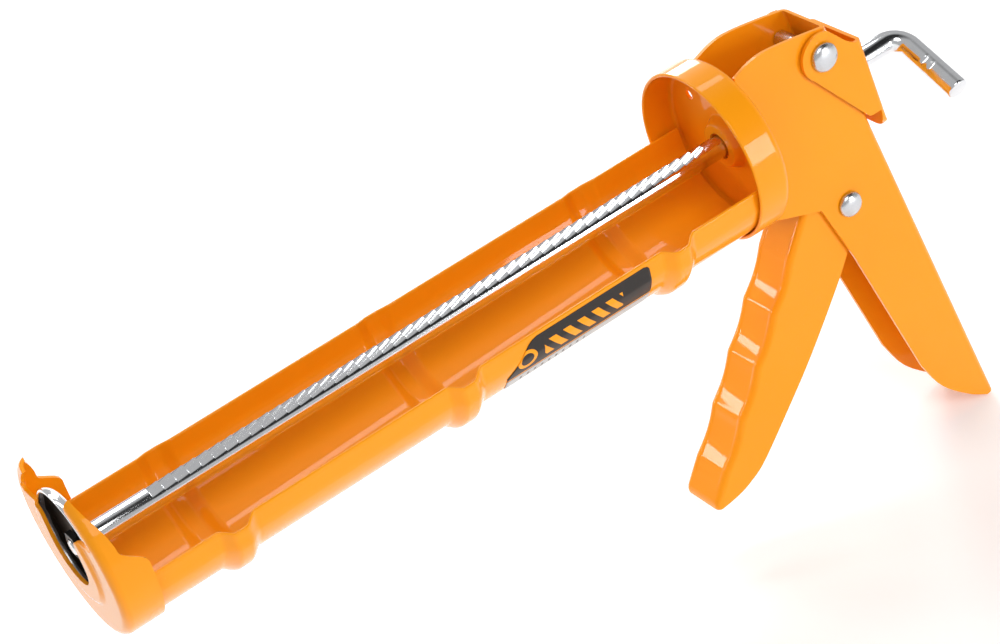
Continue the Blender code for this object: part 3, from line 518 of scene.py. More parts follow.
def buildCup():
    low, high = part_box("rear_cup")
    back = low.x - gunOrigin.x
    rim = high.x - gunOrigin.x
    radius = (high.y - low.y) / 2
    sheet = cup["sheet"]
    inner = back + sheet
    bossTop = cup["bossRadius"] - cup["bossSlope"]
    slope = []
    steps = 10
    for k in range(steps + 1):
        slope.append((cup["bossHeight"] * easeIn(1 - k / steps), bossTop + cup["bossSlope"] * k / steps))
    outside = [(back + cup["bossHeight"], cup["bore"])] + [(back + h, r) for h, r in slope]
    outside += arcPoints((back + cup["fillet"], radius - cup["fillet"]), cup["fillet"], 180, 90, 10)
    edge = arcPoints((rim - sheet / 2, radius - sheet / 2), sheet / 2, 90, -90, 8)
    innerFillet = cup["fillet"] - sheet
    inside = arcPoints((inner + innerFillet, radius - sheet - innerFillet), innerFillet, 90, 180, 8)
    inside += [(inner + h, r) for h, r in reversed(slope)] + [(inner + cup["bossHeight"], cup["bore"])]
    piece = addPiece("rearCupShell", turned(outside + edge + inside, cup["sides"]), orange, "frame",
                     "rear_cup", 40)
    y, z = cup["ventPlace"]
    rings = []
    for x in (back - 2 * sheet, inner + 2 * sheet):
        turn = [2 * pi * k / 32 for k in range(32)]
        rings.append([(x, y + cup["ventRadius"] * sin(a), z + cup["ventRadius"] * cos(a)) for a in turn])
    cutWith(piece, loft(rings))
    roundEdges(piece, 0.25 * mm, 2, 50)


buildCup()
print("rear cup made")


cap = {
    "sheet": 1.1 * mm,
    "nose": 2.6 * mm,
    "skirt": 12.7 * mm,
    "rim": 6.4 * mm,
    "earRim": 3.0 * mm,
    "earAngle": 31.0,
    "hornTaper": 3.0,
    "notchAngle": 70.0,
    "skirtAngle": 84.0,
    "slotHalfWidth": 10.5 * mm,
    "shoulderZ": 7.0 * mm,
    "shoulderRadius": 3.0 * mm,
    "shoulderCorner": 2.0 * mm,
    "hornWidth": 3.6 * mm,
    "plateau": 15.3 * mm,         # radius of the raised middle of the face
    "plateauSlope": 2.0 * mm,
    "plateauHeight": 0.8 * mm,
    "sides": 180,
}


# how far the rim reaches back, at an angle in degrees from the top
def capEdge(fromTop):
    short = cap["earRim"] + (cap["rim"] - cap["earRim"]) * easeIn(
        (fromTop - cap["earAngle"]) / (cap["notchAngle"] - cap["earAngle"]))
    extra = (cap["skirt"] - cap["rim"]) * easeIn(
        (fromTop - cap["notchAngle"]) / (cap["skirtAngle"] - cap["notchAngle"]))
    return short + extra


# closed (y, z) outline of the slot and the open top between the ears
def slotOutline(radius):
    shoulder = cap["shoulderRadius"]
    corner = cap["shoulderCorner"]
    inner = radius - cap["hornWidth"]
    ledgeZ = cap["shoulderZ"] + shoulder
    ledgeY = sqrt(inner ** 2 - ledgeZ ** 2)
    half = arcPoints((0, 0), cap["slotHalfWidth"], -90, 0, 24)
    half += arcPoints((cap["slotHalfWidth"] + shoulder, cap["shoulderZ"]), shoulder, 180, 90, 10)
    half += arcPoints((ledgeY - corner, ledgeZ + corner), corner, -90, 0, 8)
    start = atan2(ledgeY, ledgeZ + 2 * corner)
    tip = radians(cap["earAngle"] + cap["hornTaper"])
    steps = 12
    for k in range(steps + 1):
        a = start + (tip - start) * k / steps
        half.append((inner * sin(a), inner * cos(a)))
    ear = radians(cap["earAngle"])
    half += [(reach * sin(ear), reach * cos(ear)) for reach in (radius, 1.4 * radius)]
    return half + [(-y, z) for y, z in reversed(half[1:])]


def capLift(radius):
    foot = cap["plateau"] + cap["plateauSlope"]
    return cap["plateauHeight"] * easeIn((foot - radius) / cap["plateauSlope"])


# quarter arc of the rolled edge from the face outwards, ended where it meets the rim's back edge
def clippedArc(centre, radius, back, steps, reverse=False):
    cosine = min(max((back - centre[0]) / radius, 0.0), 1.0)
    arc = arcPoints(centre, radius, 0, degrees(acos(cosine)), steps)
    return arc[::-1] if reverse else arc


def buildCap():
    low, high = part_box("front_cap")
    face = high.x - gunOrigin.x
    radius = (high.y - low.y) / 2
    sheet, nose = cap["sheet"], cap["nose"]
    level = face - cap["plateauHeight"]
    least = cap["plateauHeight"] + sheet + 0.05 * mm
    steps = 40
    spread = [0.2 * radius + (radius - nose - 0.2 * radius) * k / steps for k in range(steps)]
    centre = (level - nose, radius - nose)
    rings = []
    for k in range(cap["sides"]):
        angle = 360 * k / cap["sides"]
        back = face - max(capEdge(min(angle, 360 - angle)), least)
        profile = [(level + capLift(r), r) for r in spread]
        outer = clippedArc(centre, nose, back, 10)
        inner = clippedArc(centre, nose - sheet, back, 8, True)
        profile += outer + [(back, outer[-1][1] - 0.02 * mm), (back, inner[0][1] + 0.02 * mm)] + inner
        profile += [(level - sheet + capLift(r), r) for r in reversed(spread)]
        a = radians(angle)
        rings.append([(x, r * sin(a), r * cos(a)) for x, r in profile])
    piece = addPiece("nozzleCapShell", loft(rings, loop=True), orange, "frame", "front_cap",
                     45)
    slot = slotOutline(radius)
    cutWith(piece, loft([[(x, y, z) for y, z in slot] for x in (face - 30 * mm, face + 5 * mm)]))
    roundEdges(piece, 0.25 * mm, 3, 55)


buildCap()
print("nozzle cap made")


folded = {
    "plate": 1.2 * mm,
    "edge": 0.3 * mm,             # rounding of the sheet's cut edges
    "foldSteps": 8,
    # radii of the holes
    "leverHole": 2.0 * mm,
    "triggerHole": 2.6 * mm,
    "pawlPinHole": 1.9 * mm,
    "rodHole": 4.1 * mm,
}
frameSheet = {
    "halfWidth": 10.0 * mm,
    "fold": 2.0 * mm,
    "topRear": (-37.1 * mm, 23.1 * mm),
    "lean": 0.202,                # backward run of the rear edge for each unit of drop
    "crown": ((-2.5 * mm, 24.0 * mm), (-14.0 * mm, 26.6 * mm), (-37.1 * mm, 23.1 * mm)),
    "tipZ": -132.8 * mm,
    "tipWidth": 3.0 * mm,
    "chin": ((-58.5 * mm, -128.0 * mm), (-49.2 * mm, -118.6 * mm), (-43.3 * mm, -107.0 * mm)),
    "front": ((-28.3 * mm, -55.1 * mm), (-20.6 * mm, -33.0 * mm), (-2.5 * mm, -26.2 * mm)),
}
triggerSheet = {
    "halfWidth": 8.3 * mm,
    "fold": 2.0 * mm,
    "throat": (-14.8 * mm, -32.4 * mm),
    "tip": (39.6 * mm, -107.6 * mm),
    "toe": 4.0 * mm,              # radius of the curl at the end
    "above": 14.0 * mm,
    "grooves": 4,
    "groovePitch": 17.3 * mm,
    "grooveStart": 14.0 * mm,
    "grooveDepth": 1.0 * mm,
    "panelDepth": 0.3 * mm,       # the web's middle lies this far inside its borders
    "back": ((-28.6 * mm, -50.5 * mm), (-21.8 * mm, -60.2 * mm), (-5.2 * mm, -79.4 * mm),
             (9.7 * mm, -94.4 * mm), (20.6 * mm, -104.6 * mm), (26.5 * mm, -108.0 * mm),
             (30.5 * mm, -109.5 * mm), (34.5 * mm, -110.3 * mm), (38.5 * mm, -110.8 * mm)),
    "pawlPin": (-35.4 * mm, -17.8 * mm),
    "pawlArm": 4.4 * mm,
    "shoulder": ((-38.7 * mm, -35.2 * mm), (-37.1 * mm, -43.2 * mm)),
    "armFront": (-21.0 * mm, -22.5 * mm),
}
leverSheet = {
    "halfWidth": 11.7 * mm,
    "fold": 1.8 * mm,
    "top": (-46.9 * mm, 13.9 * mm),
    "foot": (-50.0 * mm, -13.6 * mm),
    "pivot": (-32.5 * mm, 15.6 * mm),
    "ear": 7.6 * mm,
    "topEdge": ((-44.4 * mm, 13.9 * mm), (-41.3 * mm, 16.3 * mm)),
    "flangeFoot": (-44.4 * mm, -11.7 * mm),
    "flangeCorner": 1.6 * mm,
    "lip": 5.6 * mm,
    "lipCorner": 6.0 * mm,
    "rodHole": 5.2 * mm,
}


# smooth curve through (x, z) points
def splineThrough(points, steps):
    ends = [points[0]] + list(points) + [points[-1]]
    line = []
    for i in range(1, len(ends) - 2):
        p = [Vector(q) for q in ends[i - 1:i + 3]]
        for k in range(steps):
            t = k / steps
            square = (2 * p[0] - 5 * p[1] + 4 * p[2] - p[3]) * t ** 2
            cube = (3 * p[1] - p[0] - 3 * p[2] + p[3]) * t ** 3
            line.append(tuple(0.5 * (2 * p[1] + (p[2] - p[0]) * t + square + cube)))
    return line + [tuple(points[-1])]


# a U of sheet: its web runs from start to end in side view, and its legs reach to the leg's side
# shift(distance, y) moves the web inwards
def foldedSheet(start, end, halfWidth, fold, leg, shift=None, steps=1, webPoints=1):
    wall = folded["plate"]
    line = Vector((end[0] - start[0], 0.0, end[1] - start[1]))
    along = line.normalized()
    inward = Vector((along.z, 0.0, -along.x)) * (1 if leg > 0 else -1)
    turn = [radians(90 * k / folded["foldSteps"]) for k in range(folded["foldSteps"] + 1)]
    rings = []
    for s in range(steps + 1):
        distance = line.length * s / steps
        base = Vector((start[0], 0.0, start[1])) + along * distance
        ring = []
        outer = (fold, halfWidth, 0.0, 1)
        inner = (fold - wall, halfWidth - wall, wall, -1)
        for radius, width, lift, order in (outer, inner):
            side = [(abs(leg), width)]
            side += [(lift + radius * (1 - sin(a)), width - radius * (1 - cos(a))) for a in turn]
            flat = side[-1][1]
            across = [(lift, flat - 2 * flat * k / webPoints) for k in range(1, webPoints)]
            whole = side + across + [(d, -w) for d, w in reversed(side)]
            points = []
            for d, w in whole:
                move = shift(distance, w) if shift and d < abs(leg) else 0.0
                points.append(base + inward * (d + move) + Vector((0, w, 0)))
            ring += points[::order]
        rings.append(ring)
    return loft(rings)


def outlinePrism(outline, halfWidth):
    return loft([[(x, y, z) for x, z in outline] for y in (-halfWidth, halfWidth)])


def pinCutter(centre, radius, halfLength):
    ring = [2 * pi * k / 48 for k in range(48)]
    return loft([[(centre[0] + radius * cos(a), y, centre[1] + radius * sin(a)) for a in ring]
                 for y in (-halfLength, halfLength)])


def boreCutter(z, radius, low, high):
    ring = [2 * pi * k / 48 for k in range(48)]
    return loft([[(x, radius * cos(a), z + radius * sin(a)) for a in ring] for x in (low, high)])


# faces that lie in one plane become one face, so that the flats shade evenly
def joinFlats(piece):
    bm = bmesh.new()
    bm.from_mesh(piece.data)
    bmesh.ops.remove_doubles(bm, verts=bm.verts, dist=1e-6)
    bmesh.ops.dissolve_limit(bm, angle_limit=radians(0.25), verts=bm.verts, edges=bm.edges)
    bm.to_mesh(piece.data)
    bm.free()


def frameRearX(z):
    return frameSheet["topRear"][0] - frameSheet["lean"] * (frameSheet["topRear"][1] - z)


def frameOutline():
    f = frameSheet
    tipX = frameRearX(f["tipZ"])
    chin = splineThrough([(tipX + f["tipWidth"], f["tipZ"]), *f["chin"]], 10)
    rounded = [(tipX - 1.0 * mm, f["tipZ"] + 2.2 * mm), (tipX - 0.2 * mm, f["tipZ"] + 0.9 * mm),
               (tipX + 0.8 * mm, f["tipZ"] + 0.2 * mm)]
    past = [(f["topRear"][0] - f["fold"], f["topRear"][1]), (tipX - f["fold"], f["tipZ"] + 4 * mm)]
    return splineThrough(f["crown"], 14) + past + rounded + chin + list(f["front"])


def buildFrame():
    f = frameSheet
    run = 12 * mm
    bm = foldedSheet((frameRearX(f["topRear"][1] + run), f["topRear"][1] + run),
                     (frameRearX(f["tipZ"] - run), f["tipZ"] - run), f["halfWidth"], f["fold"], -70 * mm)
    piece = addPiece("handleFrameShell", bm, orange, "frame", "handle_frame", 30)
    cutWith(piece, outlinePrism(frameOutline(), 2 * f["halfWidth"]), "INTERSECT")
    cutWith(piece, pinCutter(centreOf("lever_pivot_rivet"), folded["leverHole"], 2 * f["halfWidth"]))
    cutWith(piece, pinCutter(centreOf("trigger_pivot_rivet"), folded["triggerHole"], 2 * f["halfWidth"]))
    cutWith(piece, boreCutter(0.0, folded["rodHole"], frameRearX(0) - 8 * mm, frameRearX(0) + 8 * mm))
    joinFlats(piece)
    roundEdges(piece, folded["edge"], 3, 40)


def triggerShift(distance, y):
    t = triggerSheet
    run = sqrt((t["tip"][0] - t["throat"][0]) ** 2 + (t["tip"][1] - t["throat"][1]) ** 2)
    place = distance - t["above"]
    past = min(max(place - run, 0.0), t["toe"])
    curl = t["toe"] - sqrt(t["toe"] ** 2 - past ** 2)
    count = (place - t["grooveStart"]) / t["groovePitch"]
    wave = t["grooveDepth"] * sqrt(sin(pi * count) ** 2 + 0.004) if 0 < count < t["grooves"] else 0.0
    inner = easeIn((t["halfWidth"] - t["fold"] - abs(y)) / (1.2 * mm))
    ends = easeIn((place - 4 * mm) / (5 * mm)) * easeIn((run - 2 * mm - place) / (4 * mm))
    panel = t["panelDepth"] * inner * ends
    return wave + curl + panel


def buildTrigger():
    t = triggerSheet
    slope = (Vector(t["tip"]) - Vector(t["throat"])).normalized()
    top = Vector(t["throat"]) - slope * t["above"]
    foot = Vector(t["tip"]) + slope * 0.92 * t["toe"]
    bm = foldedSheet(tuple(top), tuple(foot), t["halfWidth"], t["fold"], 44 * mm, triggerShift, 150, 22)
    piece = addPiece("triggerShell", bm, orange, "trigger", "trigger", 30)
    toe = (t["tip"][0], t["back"][-1][1])
    front = [(point[0] + t["toe"], point[1]) for point in (toe, t["tip"], t["throat"])]
    outline = arcPoints(t["pawlPin"], t["pawlArm"], 20, 190, 16) + list(t["shoulder"])
    outline += splineThrough(t["back"], 6) + front + [t["armFront"]]
    cutWith(piece, outlinePrism(outline, 2 * t["halfWidth"]), "INTERSECT")
    cutWith(piece, pinCutter(centreOf("trigger_pivot_rivet"), folded["triggerHole"], 2 * t["halfWidth"]))
    cutWith(piece, pinCutter(t["pawlPin"], folded["pawlPinHole"], 2 * t["halfWidth"]))
    joinFlats(piece)
    roundEdges(piece, folded["edge"], 3, 40)


def buildLever():
    v = leverSheet
    top, foot = Vector(v["top"]), Vector(v["foot"])
    slope = (foot - top).normalized()
    bm = foldedSheet(tuple(top - slope * 2 * v["ear"]), tuple(foot + slope * 2 * v["lip"]),
                     v["halfWidth"], v["fold"], -40 * mm)
    piece = addPiece("releaseLeverShell", bm, orange, "lever", "release_lever", 30)
    low = foot.y - v["lip"]
    crown = [*v["topEdge"], *arcPoints(v["pivot"], v["ear"], 118, 60, 6)]
    outline = [(top.x - 3 * mm, top.y)] + splineThrough(crown, 4)
    outline += arcPoints(v["pivot"], v["ear"], 50, -50, 16)
    footX, footZ = v["flangeFoot"]
    soft = v["flangeCorner"]
    outline += [(footX + 0.9 * soft, footZ + 0.8 * soft), (footX + 0.3 * soft, footZ + 0.15 * soft),
                (footX - 0.4 * soft, footZ), (foot.x + v["fold"], footZ),
                (foot.x + v["fold"], low), (foot.x - 3 * mm, low)]
    cutWith(piece, outlinePrism(outline, 2 * v["halfWidth"]), "INTERSECT")
    half = v["halfWidth"]
    right = arcPoints((half - v["lipCorner"], low + v["lipCorner"]), v["lipCorner"], -90, 0, 12)
    right += [(half + 1.2 * mm, low + 2 * v["lipCorner"]), (half + 1.2 * mm, 30 * mm)]
    rear = right + [(-y, z) for y, z in reversed(right)]
    cutWith(piece, loft([[(x, y, z) for y, z in rear] for x in (-60 * mm, -15 * mm)]), "INTERSECT")
    cutWith(piece, pinCutter(v["pivot"], folded["leverHole"], 2 * half))
    holeZ = v["rodHole"] - rod["radius"] - 0.5 * mm
    middleX = (top.x + foot.x) / 2
    cutWith(piece, boreCutter(holeZ, v["rodHole"], middleX - 6 * mm, middleX + 6 * mm))
    joinFlats(piece)
    roundEdges(piece, folded["edge"], 3, 40)


rod = {
    "radius": 3.5 * mm,
    "sides": 48,
    "toothPitch": 4.0 * mm,
    "toothDepth": 1.5 * mm,
    "toothStep": 0.25 * mm,
    "toothFront": 200.0 * mm,
    "toothCount": 63,
    "hookX": -67.8 * mm,
    "hookLength": 27.0 * mm,
    "hookDrop": 24.6,
    "hookBend": 6.0 * mm,
    "chamfer": 0.6 * mm,
    "shank": 2.4 * mm,
    "crimpPlaces": (13.5 * mm, 16.4 * mm),   # along the hook's leg
    "crimpDepth": 0.45 * mm,
    "crimpWidth": 0.55 * mm,
}

buildFrame()
buildTrigger()
buildLever()
print("frame, trigger and lever made")


rivet = {
    "headHeight": 2.2 * mm,
    "domeSteps": 14,
    "sides": 72,
    "seat": 0.35 * mm,            # small flat step under each dome
    "leverShank": 1.7 * mm,
    "triggerShank": 2.3 * mm,
    "spacerBore": 2.0 * mm,
    "bushBore": 2.6 * mm,
    "tubeChamfer": 0.25 * mm,
    "pawlEdge": 0.25 * mm,
}


def rivetPiece(name, node, shank):
    low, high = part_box(node)
    centre = centreOf(node)
    head = (high.x - low.x) / 2
    end = high.y
    grip = end - rivet["headHeight"]
    dome = [(grip, shank), (grip, head * 0.97), (grip + rivet["seat"] * 0.3, head)]
    dome.append((grip + rivet["seat"], head * 0.995))
    rise = rivet["headHeight"] - rivet["seat"]
    for k in range(1, rivet["domeSteps"] + 1):
        a = radians(90 * k / rivet["domeSteps"])
        dome.append((grip + rivet["seat"] + rise * sin(a), max(head * 0.99 * cos(a) ** 0.9, 0.02 * mm)))
    profile = [(-y, r) for y, r in reversed(dome)] + dome
    rings = []
    sides = rivet["sides"]
    for y, r in profile:
        turn = [2 * pi * k / sides for k in range(sides)]
        rings.append([(centre[0] + r * cos(a), y, centre[1] + r * sin(a)) for a in turn])
    addPiece(name, loft(rings), zinc, "frame", node, 40)


rivetPiece("leverRivet", "lever_pivot_rivet", rivet["leverShank"])
rivetPiece("triggerRivet", "trigger_pivot_rivet", rivet["triggerShank"])


# smooth tube along Y in place of a faceted one
def tubePiece(name, node, bore, body):
    low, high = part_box(node)
    outer = (high.x - low.x) / 2
    chamfer = rivet["tubeChamfer"]
    half = high.y
    profile = [(-half, bore + chamfer), (-half, outer - chamfer), (-half + chamfer, outer),
               (half - chamfer, outer), (half, outer - chamfer), (half, bore + chamfer),
               (half - chamfer, bore), (-half + chamfer, bore)]
    addPiece(name, crossTurned(centreOf(node), profile, 64), zinc, body, node, 30)


tubePiece("leverSpacerTube", "lever_spacer", rivet["spacerBore"], "frame")
tubePiece("triggerBushTube", "trigger_bush", rivet["bushBore"], "trigger")
refinedCopy("drive_pawl", "drivePawlPlate", darkSteel, "pawl", rivet["pawlEdge"], 2)
refinedCopy("drive_pawl_pin", "drivePawlPinRod", darkSteel, "trigger", rivet["pawlEdge"], 2)
print("rivets and pawl made")


triggerSpring = {
    "radius": 4.85 * mm,
    "wire": 0.55 * mm,
    "coils": 4,
    "start": 170,                 # directions of the two legs, in degrees
    "end": 235,
    "firstY": -5.65 * mm,
    "legs": (7 * mm, 11 * mm),
}
pawlSpring = {
    "radius": 2.25 * mm,
    "wire": 0.35 * mm,
    "coils": 4,
    "start": 180,
    "end": 270,
    "firstY": 2.65 * mm,
    "legs": (2 * mm, 5 * mm),
}
releaseSpring = {
    "wire": 0.35 * mm,
    "coils": 3,
    "perCoil": 40,
}


def wirePiece(name, path, wireRadius, body, node):
    curve = bpy.data.curves.new(name, "CURVE")
    curve.dimensions = "3D"
    curve.bevel_depth = wireRadius
    curve.bevel_resolution = 4
    curve.use_fill_caps = True
    spline = curve.splines.new("POLY")
    spline.points.add(len(path) - 1)
    for point, place in zip(spline.points, path):
        point.co = (*(place + gunOrigin), 1)
    curve.materials.append(springWire)
    piece = bpy.data.objects.new(name, curve)
    bpy.context.scene.collection.objects.link(piece)
    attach(piece, body)
    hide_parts(node)
    return piece


def torsionPath(s, about):
    centre = centreOf(about)
    total = s["coils"] * 360 + s["end"] - s["start"]
    count = int(total / 7)
    pitch = 2 * s["wire"] + 0.15 * mm
    path = []
    for k in range(count + 1):
        a = radians(s["start"] + total * k / count)
        y = s["firstY"] + pitch * total / 360 * k / count
        path.append(Vector((centre[0] + s["radius"] * cos(a), y, centre[1] + s["radius"] * sin(a))))
    first = radians(s["start"])
    last = radians(s["start"] + total)
    before = path[0] + Vector((sin(first), 0, -cos(first))) * s["legs"][0]
    after = path[-1] + Vector((-sin(last), 0, cos(last))) * s["legs"][1]
    return [before] + path + [after]


wirePiece("triggerSpringWire", torsionPath(triggerSpring, "trigger_pivot_rivet"), triggerSpring["wire"],
          "frame", "trigger_return_spring")
wirePiece("pawlSpringWire", torsionPath(pawlSpring, "drive_pawl_pin"), pawlSpring["wire"],
          "trigger", "drive_pawl_spring")


def releasePath():
    low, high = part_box("release_spring")
    wireRadius = releaseSpring["wire"]
    radius = (high.y - low.y) / 2 - wireRadius
    front = high.x - gunOrigin.x - wireRadius
    back = low.x - gunOrigin.x + wireRadius
    z = (low.z + high.z) / 2 - gunOrigin.z
    count = releaseSpring["coils"] * releaseSpring["perCoil"]
    path = []
    for k in range(count + 1):
        t = k / count
        a = 2 * pi * releaseSpring["coils"] * t
        path.append(Vector((front + (back - front) * t, radius * cos(a), z + radius * sin(a))))
    return path


# the lever's back closes on this spring; the wire is made into a mesh of its own, and the press's travel is
# worked out and printed
def pressReleaseSpring(piece):
    low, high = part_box("release_spring")
    joint = next(j for j in frame["joints"] if j["name"] == "release_press")
    length = high.x - low.x
    travel = (joint["pos_m"][2] - low.z) * sin(radians(max(abs(a) for a in joint["range_deg"])))
    for other in bpy.context.selected_objects:
        other.select_set(False)
    piece.select_set(True)
    bpy.context.view_layer.objects.active = piece
    bpy.ops.object.convert(target="MESH")
    1 - travel / length
    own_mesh(piece)
    print(f"release spring shortens by {travel / mm:.2f} of {length / mm:.2f} mm")


pressReleaseSpring(wirePiece("releaseSpringWire", releasePath(), releaseSpring["wire"],
                             "frame", "release_spring"))
print("springs made")


def rodRing(x, radius, limit):
    ring = []
    for k in range(rod["sides"]):
        a = 2 * pi * (k + 0.5) / rod["sides"]
        ring.append(Vector((x, radius * sin(a), min(radius * cos(a), limit))))
    return ring


def crimpDip(distance):
    dip = 0.0
    for place in rod["crimpPlaces"]:
        dip += exp(-((distance - place) / rod["crimpWidth"]) ** 2)
    return rod["crimpDepth"] * dip


def buildRod():
    radius = rod["radius"]
    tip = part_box("toothed_rod")[1].x - gunOrigin.x
    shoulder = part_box("plunger_washer")[0].x - gunOrigin.x - 0.3 * mm
    small = 0.4 * mm
    rings = [rodRing(tip, rod["shank"] - small, 1), rodRing(tip - small, rod["shank"], 1),
             rodRing(shoulder, rod["shank"], 1), rodRing(shoulder, radius - small, 1),
             rodRing(shoulder - small, radius, 1), rodRing(rod["toothFront"] + rod["toothStep"], radius, 1)]
    for k in range(rod["toothCount"]):
        x = rod["toothFront"] - k * rod["toothPitch"]
        rings.append(rodRing(x, radius, radius - rod["toothDepth"]))
        rings.append(rodRing(x - rod["toothPitch"] + rod["toothStep"], radius, radius))
    bendX = rod["hookX"] + rod["hookBend"]
    straight = rodRing(bendX, radius, 1)
    drop = radians(rod["hookDrop"])
    leg = Vector((0, cos(drop), -sin(drop)))
    axis = Vector((1, 0, 0)).cross(leg)
    centre = Vector((bendX, 0, 0)) + leg * rod["hookBend"]
    steps = 18
    for k in range(steps + 1):
        turn = Matrix.Rotation(radians(-90) * k / steps, 3, axis)
        flatten = 0.03 * sin(pi * k / steps)          # the bend is a little flattened
        inwards = turn @ Vector((1, 0, 0)).cross(axis)
        ring = [centre + turn @ (point - centre) for point in straight]
        middle = sum(ring, Vector()) / len(ring)
        spokes = [point - middle for point in ring]
        rings.append([middle + spoke * (1 - flatten * abs(spoke.normalized().dot(inwards)))
                      for spoke in spokes])
    last = [centre + Matrix.Rotation(radians(-90), 3, axis) @ (point - centre) for point in straight]
    middle = sum(last, Vector()) / len(last)
    run = rod["hookLength"] - rod["hookBend"]
    up = leg.cross(Vector((1, 0, 0))).normalized()
    if up.z < 0:
        up = -up
    stamped = (up * 0.8 + Vector((0.6, 0, 0))).normalized()
    legSteps = 60
    for k in range(1, legSteps + 1):
        distance = (run - rod["chamfer"]) * k / legSteps
        dip = crimpDip(distance + rod["hookBend"])
        ring = []
        for point in last:
            offset = point - middle
            over = max(offset.dot(stamped) - (radius - dip), 0.0)
            ring.append(middle + offset - stamped * over + leg * distance)
        rings.append(ring)
    for k in range(1, 4):
        a = radians(90 * k / 3)
        shrink = 1 - rod["chamfer"] / radius * (1 - cos(a))
        rings.append([middle + (point - middle) * shrink + leg * (run - rod["chamfer"] * (1 - sin(a)))
                      for point in last])
    addPiece("toothedRodBar", loft(rings), brightRod, "rod", "toothed_rod", 32)


buildRod()

plunger = {
    "sheet": 1.2 * mm,
    "edge": 2.0 * mm,
    "hole": 2.7 * mm,
    "sides": 120,
    "washerSides": 72,
    "washerEdge": 0.25 * mm,
    "nutEdge": 0.2 * mm,
}


def buildPlunger():
    low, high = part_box("plunger_plate")
    back = low.x - gunOrigin.x
    rim = high.x - gunOrigin.x
    radius = (high.y - low.y) / 2
    sheet = plunger["sheet"]
    outer = plunger["edge"] + sheet
    profile = [(back, plunger["hole"])] + arcPoints((back + outer, radius - outer), outer, 180, 90, 12)
    profile += arcPoints((rim - sheet / 2, radius - sheet / 2), sheet / 2, 90, -90, 6)
    profile += arcPoints((back + outer, radius - outer), plunger["edge"], 90, 180, 10)
    profile.append((back + sheet, plunger["hole"]))
    addPiece("plungerDish", turned(profile, plunger["sides"]), dishWithPaintedDarkReflection, "plunger", "plunger_plate",
             40)
    low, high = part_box("plunger_washer")
    back, front = low.x - gunOrigin.x, high.x - gunOrigin.x
    radius = (high.y - low.y) / 2
    soft = plunger["washerEdge"]
    ring = [(back, plunger["hole"]), (back, radius - soft), (back + soft, radius), (front - soft, radius),
            (front, radius - soft), (front, plunger["hole"])]
    addPiece("plungerWasherRing", turned(ring, plunger["washerSides"]), zinc, "plunger", "plunger_washer",
             30)


buildPlunger()
refinedCopy("plunger_nut", "plungerNutBody", blackenedSteel, "rod", plunger["nutEdge"], 2, 30)
print("rod and plunger made")


stickerPlace = {
    "upper": 1.3 * mm,            # cradle's top edge to the sticker, along the surface
    "height": 18.2 * mm,
    "slant": 9.5 * mm,            # how much shorter the upper edge is
    "slantHeight": 10.0 * mm,     # how far down the slanted end reaches
    "lift": 0.06 * mm,
    "thickness": 0.12 * mm,
    "corner": 1.8 * mm,
    "columns": 60,
    "rows": 40,
}


# (y, z) on the cradle's left side, at a distance along the surface from the top edge
def sidePoint(distance, outset):
    line = barrelHalf(outset, 0.0, 0.0)
    for first, second in zip(line, line[1:]):
        step = sqrt((second[0] - first[0]) ** 2 + (second[1] - first[1]) ** 2)
        if distance <= step:
            t = distance / step
            return first[0] + (second[0] - first[0]) * t, first[1] + (second[1] - first[1]) * t
        distance -= step
    return line[-1]


# thin film that follows the cradle's side, with rounded corners and one slanted end
def buildSticker():
    low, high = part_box("label_sticker")
    rear = low.x - gunOrigin.x
    front = high.x - gunOrigin.x
    p = stickerPlace
    height, corner = p["height"], p["corner"]
    columns, rows = p["columns"], p["rows"]
    bm = bmesh.new()
    film = bm.loops.layers.uv.new("film")
    grid = []
    for j in range(rows + 1):
        down = height * j / rows
        y, z = sidePoint(p["upper"] + down, p["lift"])
        inset = corner - sqrt(max(corner ** 2 - max(corner - min(down, height - down), 0) ** 2, 0))
        end = front - p["slant"] * max(1 - down / p["slantHeight"], 0.0) - inset
        start = rear + inset
        line = []
        for i in range(columns + 1):
            x = start + (end - start) * i / columns
            line.append((bm.verts.new((x, y, z)), front - x, height - down))
        grid.append(line)
    for j in range(rows):
        for i in range(columns):
            corners = (grid[j][i], grid[j][i + 1], grid[j + 1][i + 1], grid[j + 1][i])
            face = bm.faces.new([c[0] for c in corners])
            for loop, c in zip(face.loops, corners):
                loop[film].uv = (c[1], c[2])
    finish = stickerFilm(front - rear, height)
    piece = addPiece("stickerSheet", bm, finish, "frame", "label_sticker")
    thick = piece.modifiers.new("filmThickness", "SOLIDIFY")
    thick.thickness = p["thickness"]
    thick.offset = 1.0


buildSticker()
print("sticker made")


studio = {
    "floorColour": (0.90, 0.90, 0.90, 1),
    "floorGrain": (0.88, 0.88, 0.88, 1),
    "floorGlow": 0.26,
    "floorReach": 6.0,
    "worldStrength": 0.50,
    "darkWay": (-0.40, 0.49, 0.77),         # direction of the dark side of the studio
    "darkStrength": 0.02,
    "darkEdge": (0.80, 0.93),               # cosines between which the light falls off to the dark
    "lightsAim": (0.0, 0.0, 0.09),
    # name: power in watts, azimuth and elevation in degrees, distance and sizes in metres
    "lights": {
        "sideBox": (4.6, 82, 46, 1.3, (0.6, 0.5)),
        "overheadStrip": (3.0, -113, 62, 1.2, (0.9, 0.16)),
        "rearWall": (3.6, -98, 38, 1.3, (0.8, 0.26)),
        "backBox": (5.2, -118, 16, 1.3, (0.24, 0.46)),
        "frontBox": (5.6, 118, 5, 1.3, (0.20, 0.62)),
        "gripBox": (1.7, -47, 20, 1.1, (0.34, 0.09)),
    },
}


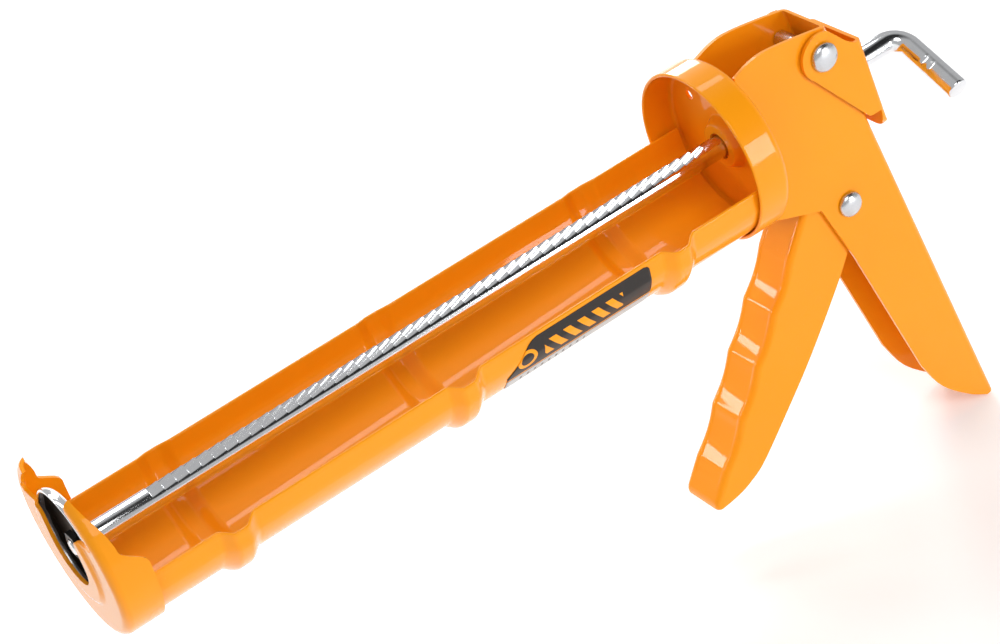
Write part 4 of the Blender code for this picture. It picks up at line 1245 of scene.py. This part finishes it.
def buildFloor():
    mesh = bpy.data.meshes.new("studioFloor")
    reach = studio["floorReach"]
    level = cadBox[0][2] - 1 * mm
    corners = [(-reach, -reach, level), (reach, -reach, level), (reach, reach, level), (-reach, reach, level)]
    mesh.from_pydata(corners, [], [(0, 1, 2, 3)])
    floor = bpy.data.objects.new("studioFloor", mesh)
    bpy.context.scene.collection.objects.link(floor)
    m = Finish("floorPaper")
    grain = m.noise(3 * mm, 2)
    paper = m.tint(grain, studio["floorColour"], studio["floorGrain"])
    mesh.materials.append(m.finish(Base_Color=paper, Emission_Color=paper,
                                   Emission_Strength=studio["floorGlow"], Roughness=0.9))


def buildWorld():
    world = bpy.data.worlds.new("studioWorld")
    bpy.context.scene.world = world
    world.use_nodes = True
    background = world.node_tree.nodes["Background"]
    tree = world.node_tree
    way = tree.nodes.new("ShaderNodeTexCoord")
    toward = tree.nodes.new("ShaderNodeVectorMath")
    toward.operation = "DOT_PRODUCT"
    toward.inputs[1].default_value = Vector(studio["darkWay"]).normalized()
    shade = tree.nodes.new("ShaderNodeMapRange")
    limits = (*studio["darkEdge"], studio["worldStrength"], studio["darkStrength"])
    for slotIndex, value in enumerate(limits, 1):
        shade.inputs[slotIndex].default_value = value
    tree.links.new(way.outputs["Generated"], toward.inputs[0])
    tree.links.new(toward.outputs["Value"], shade.inputs[0])
    tree.links.new(shade.outputs[0], background.inputs["Strength"])
    background.inputs["Color"].default_value = (1, 1, 1, 1)


def addLights():
    middle = Vector(studio["lightsAim"])
    for name, (power, azimuth, elevation, distance, size) in studio["lights"].items():
        light = bpy.data.lights.new(name, "AREA")
        light.shape = "RECTANGLE"
        light.size, light.size_y = size
        light.energy = power
        lamp = bpy.data.objects.new(name, light)
        bpy.context.scene.collection.objects.link(lamp)
        a, e = radians(azimuth), radians(elevation)
        way = Vector((cos(e) * cos(a), cos(e) * sin(a), sin(e)))
        lamp.location = middle + way * distance
        lamp.rotation_euler = (-way).to_track_quat("-Z", "Y").to_euler()


# seen from the gun's left, front and above, and rolled so that the gun points down to the left
view = {
    "place": (270.9 * mm, 588.7 * mm, 544.1 * mm),
    "right": (-0.79655, 0.54400, -0.26377),
    "down": (0.49998, 0.34746, -0.79328),
    "ahead": (-0.33989, -0.76376, -0.54876),
    "lens": 97.54,
}


def buildCamera():
    data = bpy.data.cameras.new("studioCamera")
    data.lens = view["lens"]
    data.sensor_width = 36
    data.clip_start = 0.01
    camera = bpy.data.objects.new("studioCamera", data)
    bpy.context.scene.collection.objects.link(camera)
    right, down, ahead = Vector(view["right"]), Vector(view["down"]), Vector(view["ahead"])
    turn = Matrix((right, -down, -ahead)).transposed().to_4x4()
    camera.matrix_world = Matrix.Translation(Vector(view["place"])) @ turn
    bpy.context.scene.camera = camera


buildFloor()
buildWorld()
addLights()
buildCamera()
bpy.context.scene.view_settings.view_transform = "Standard"
print("studio made")
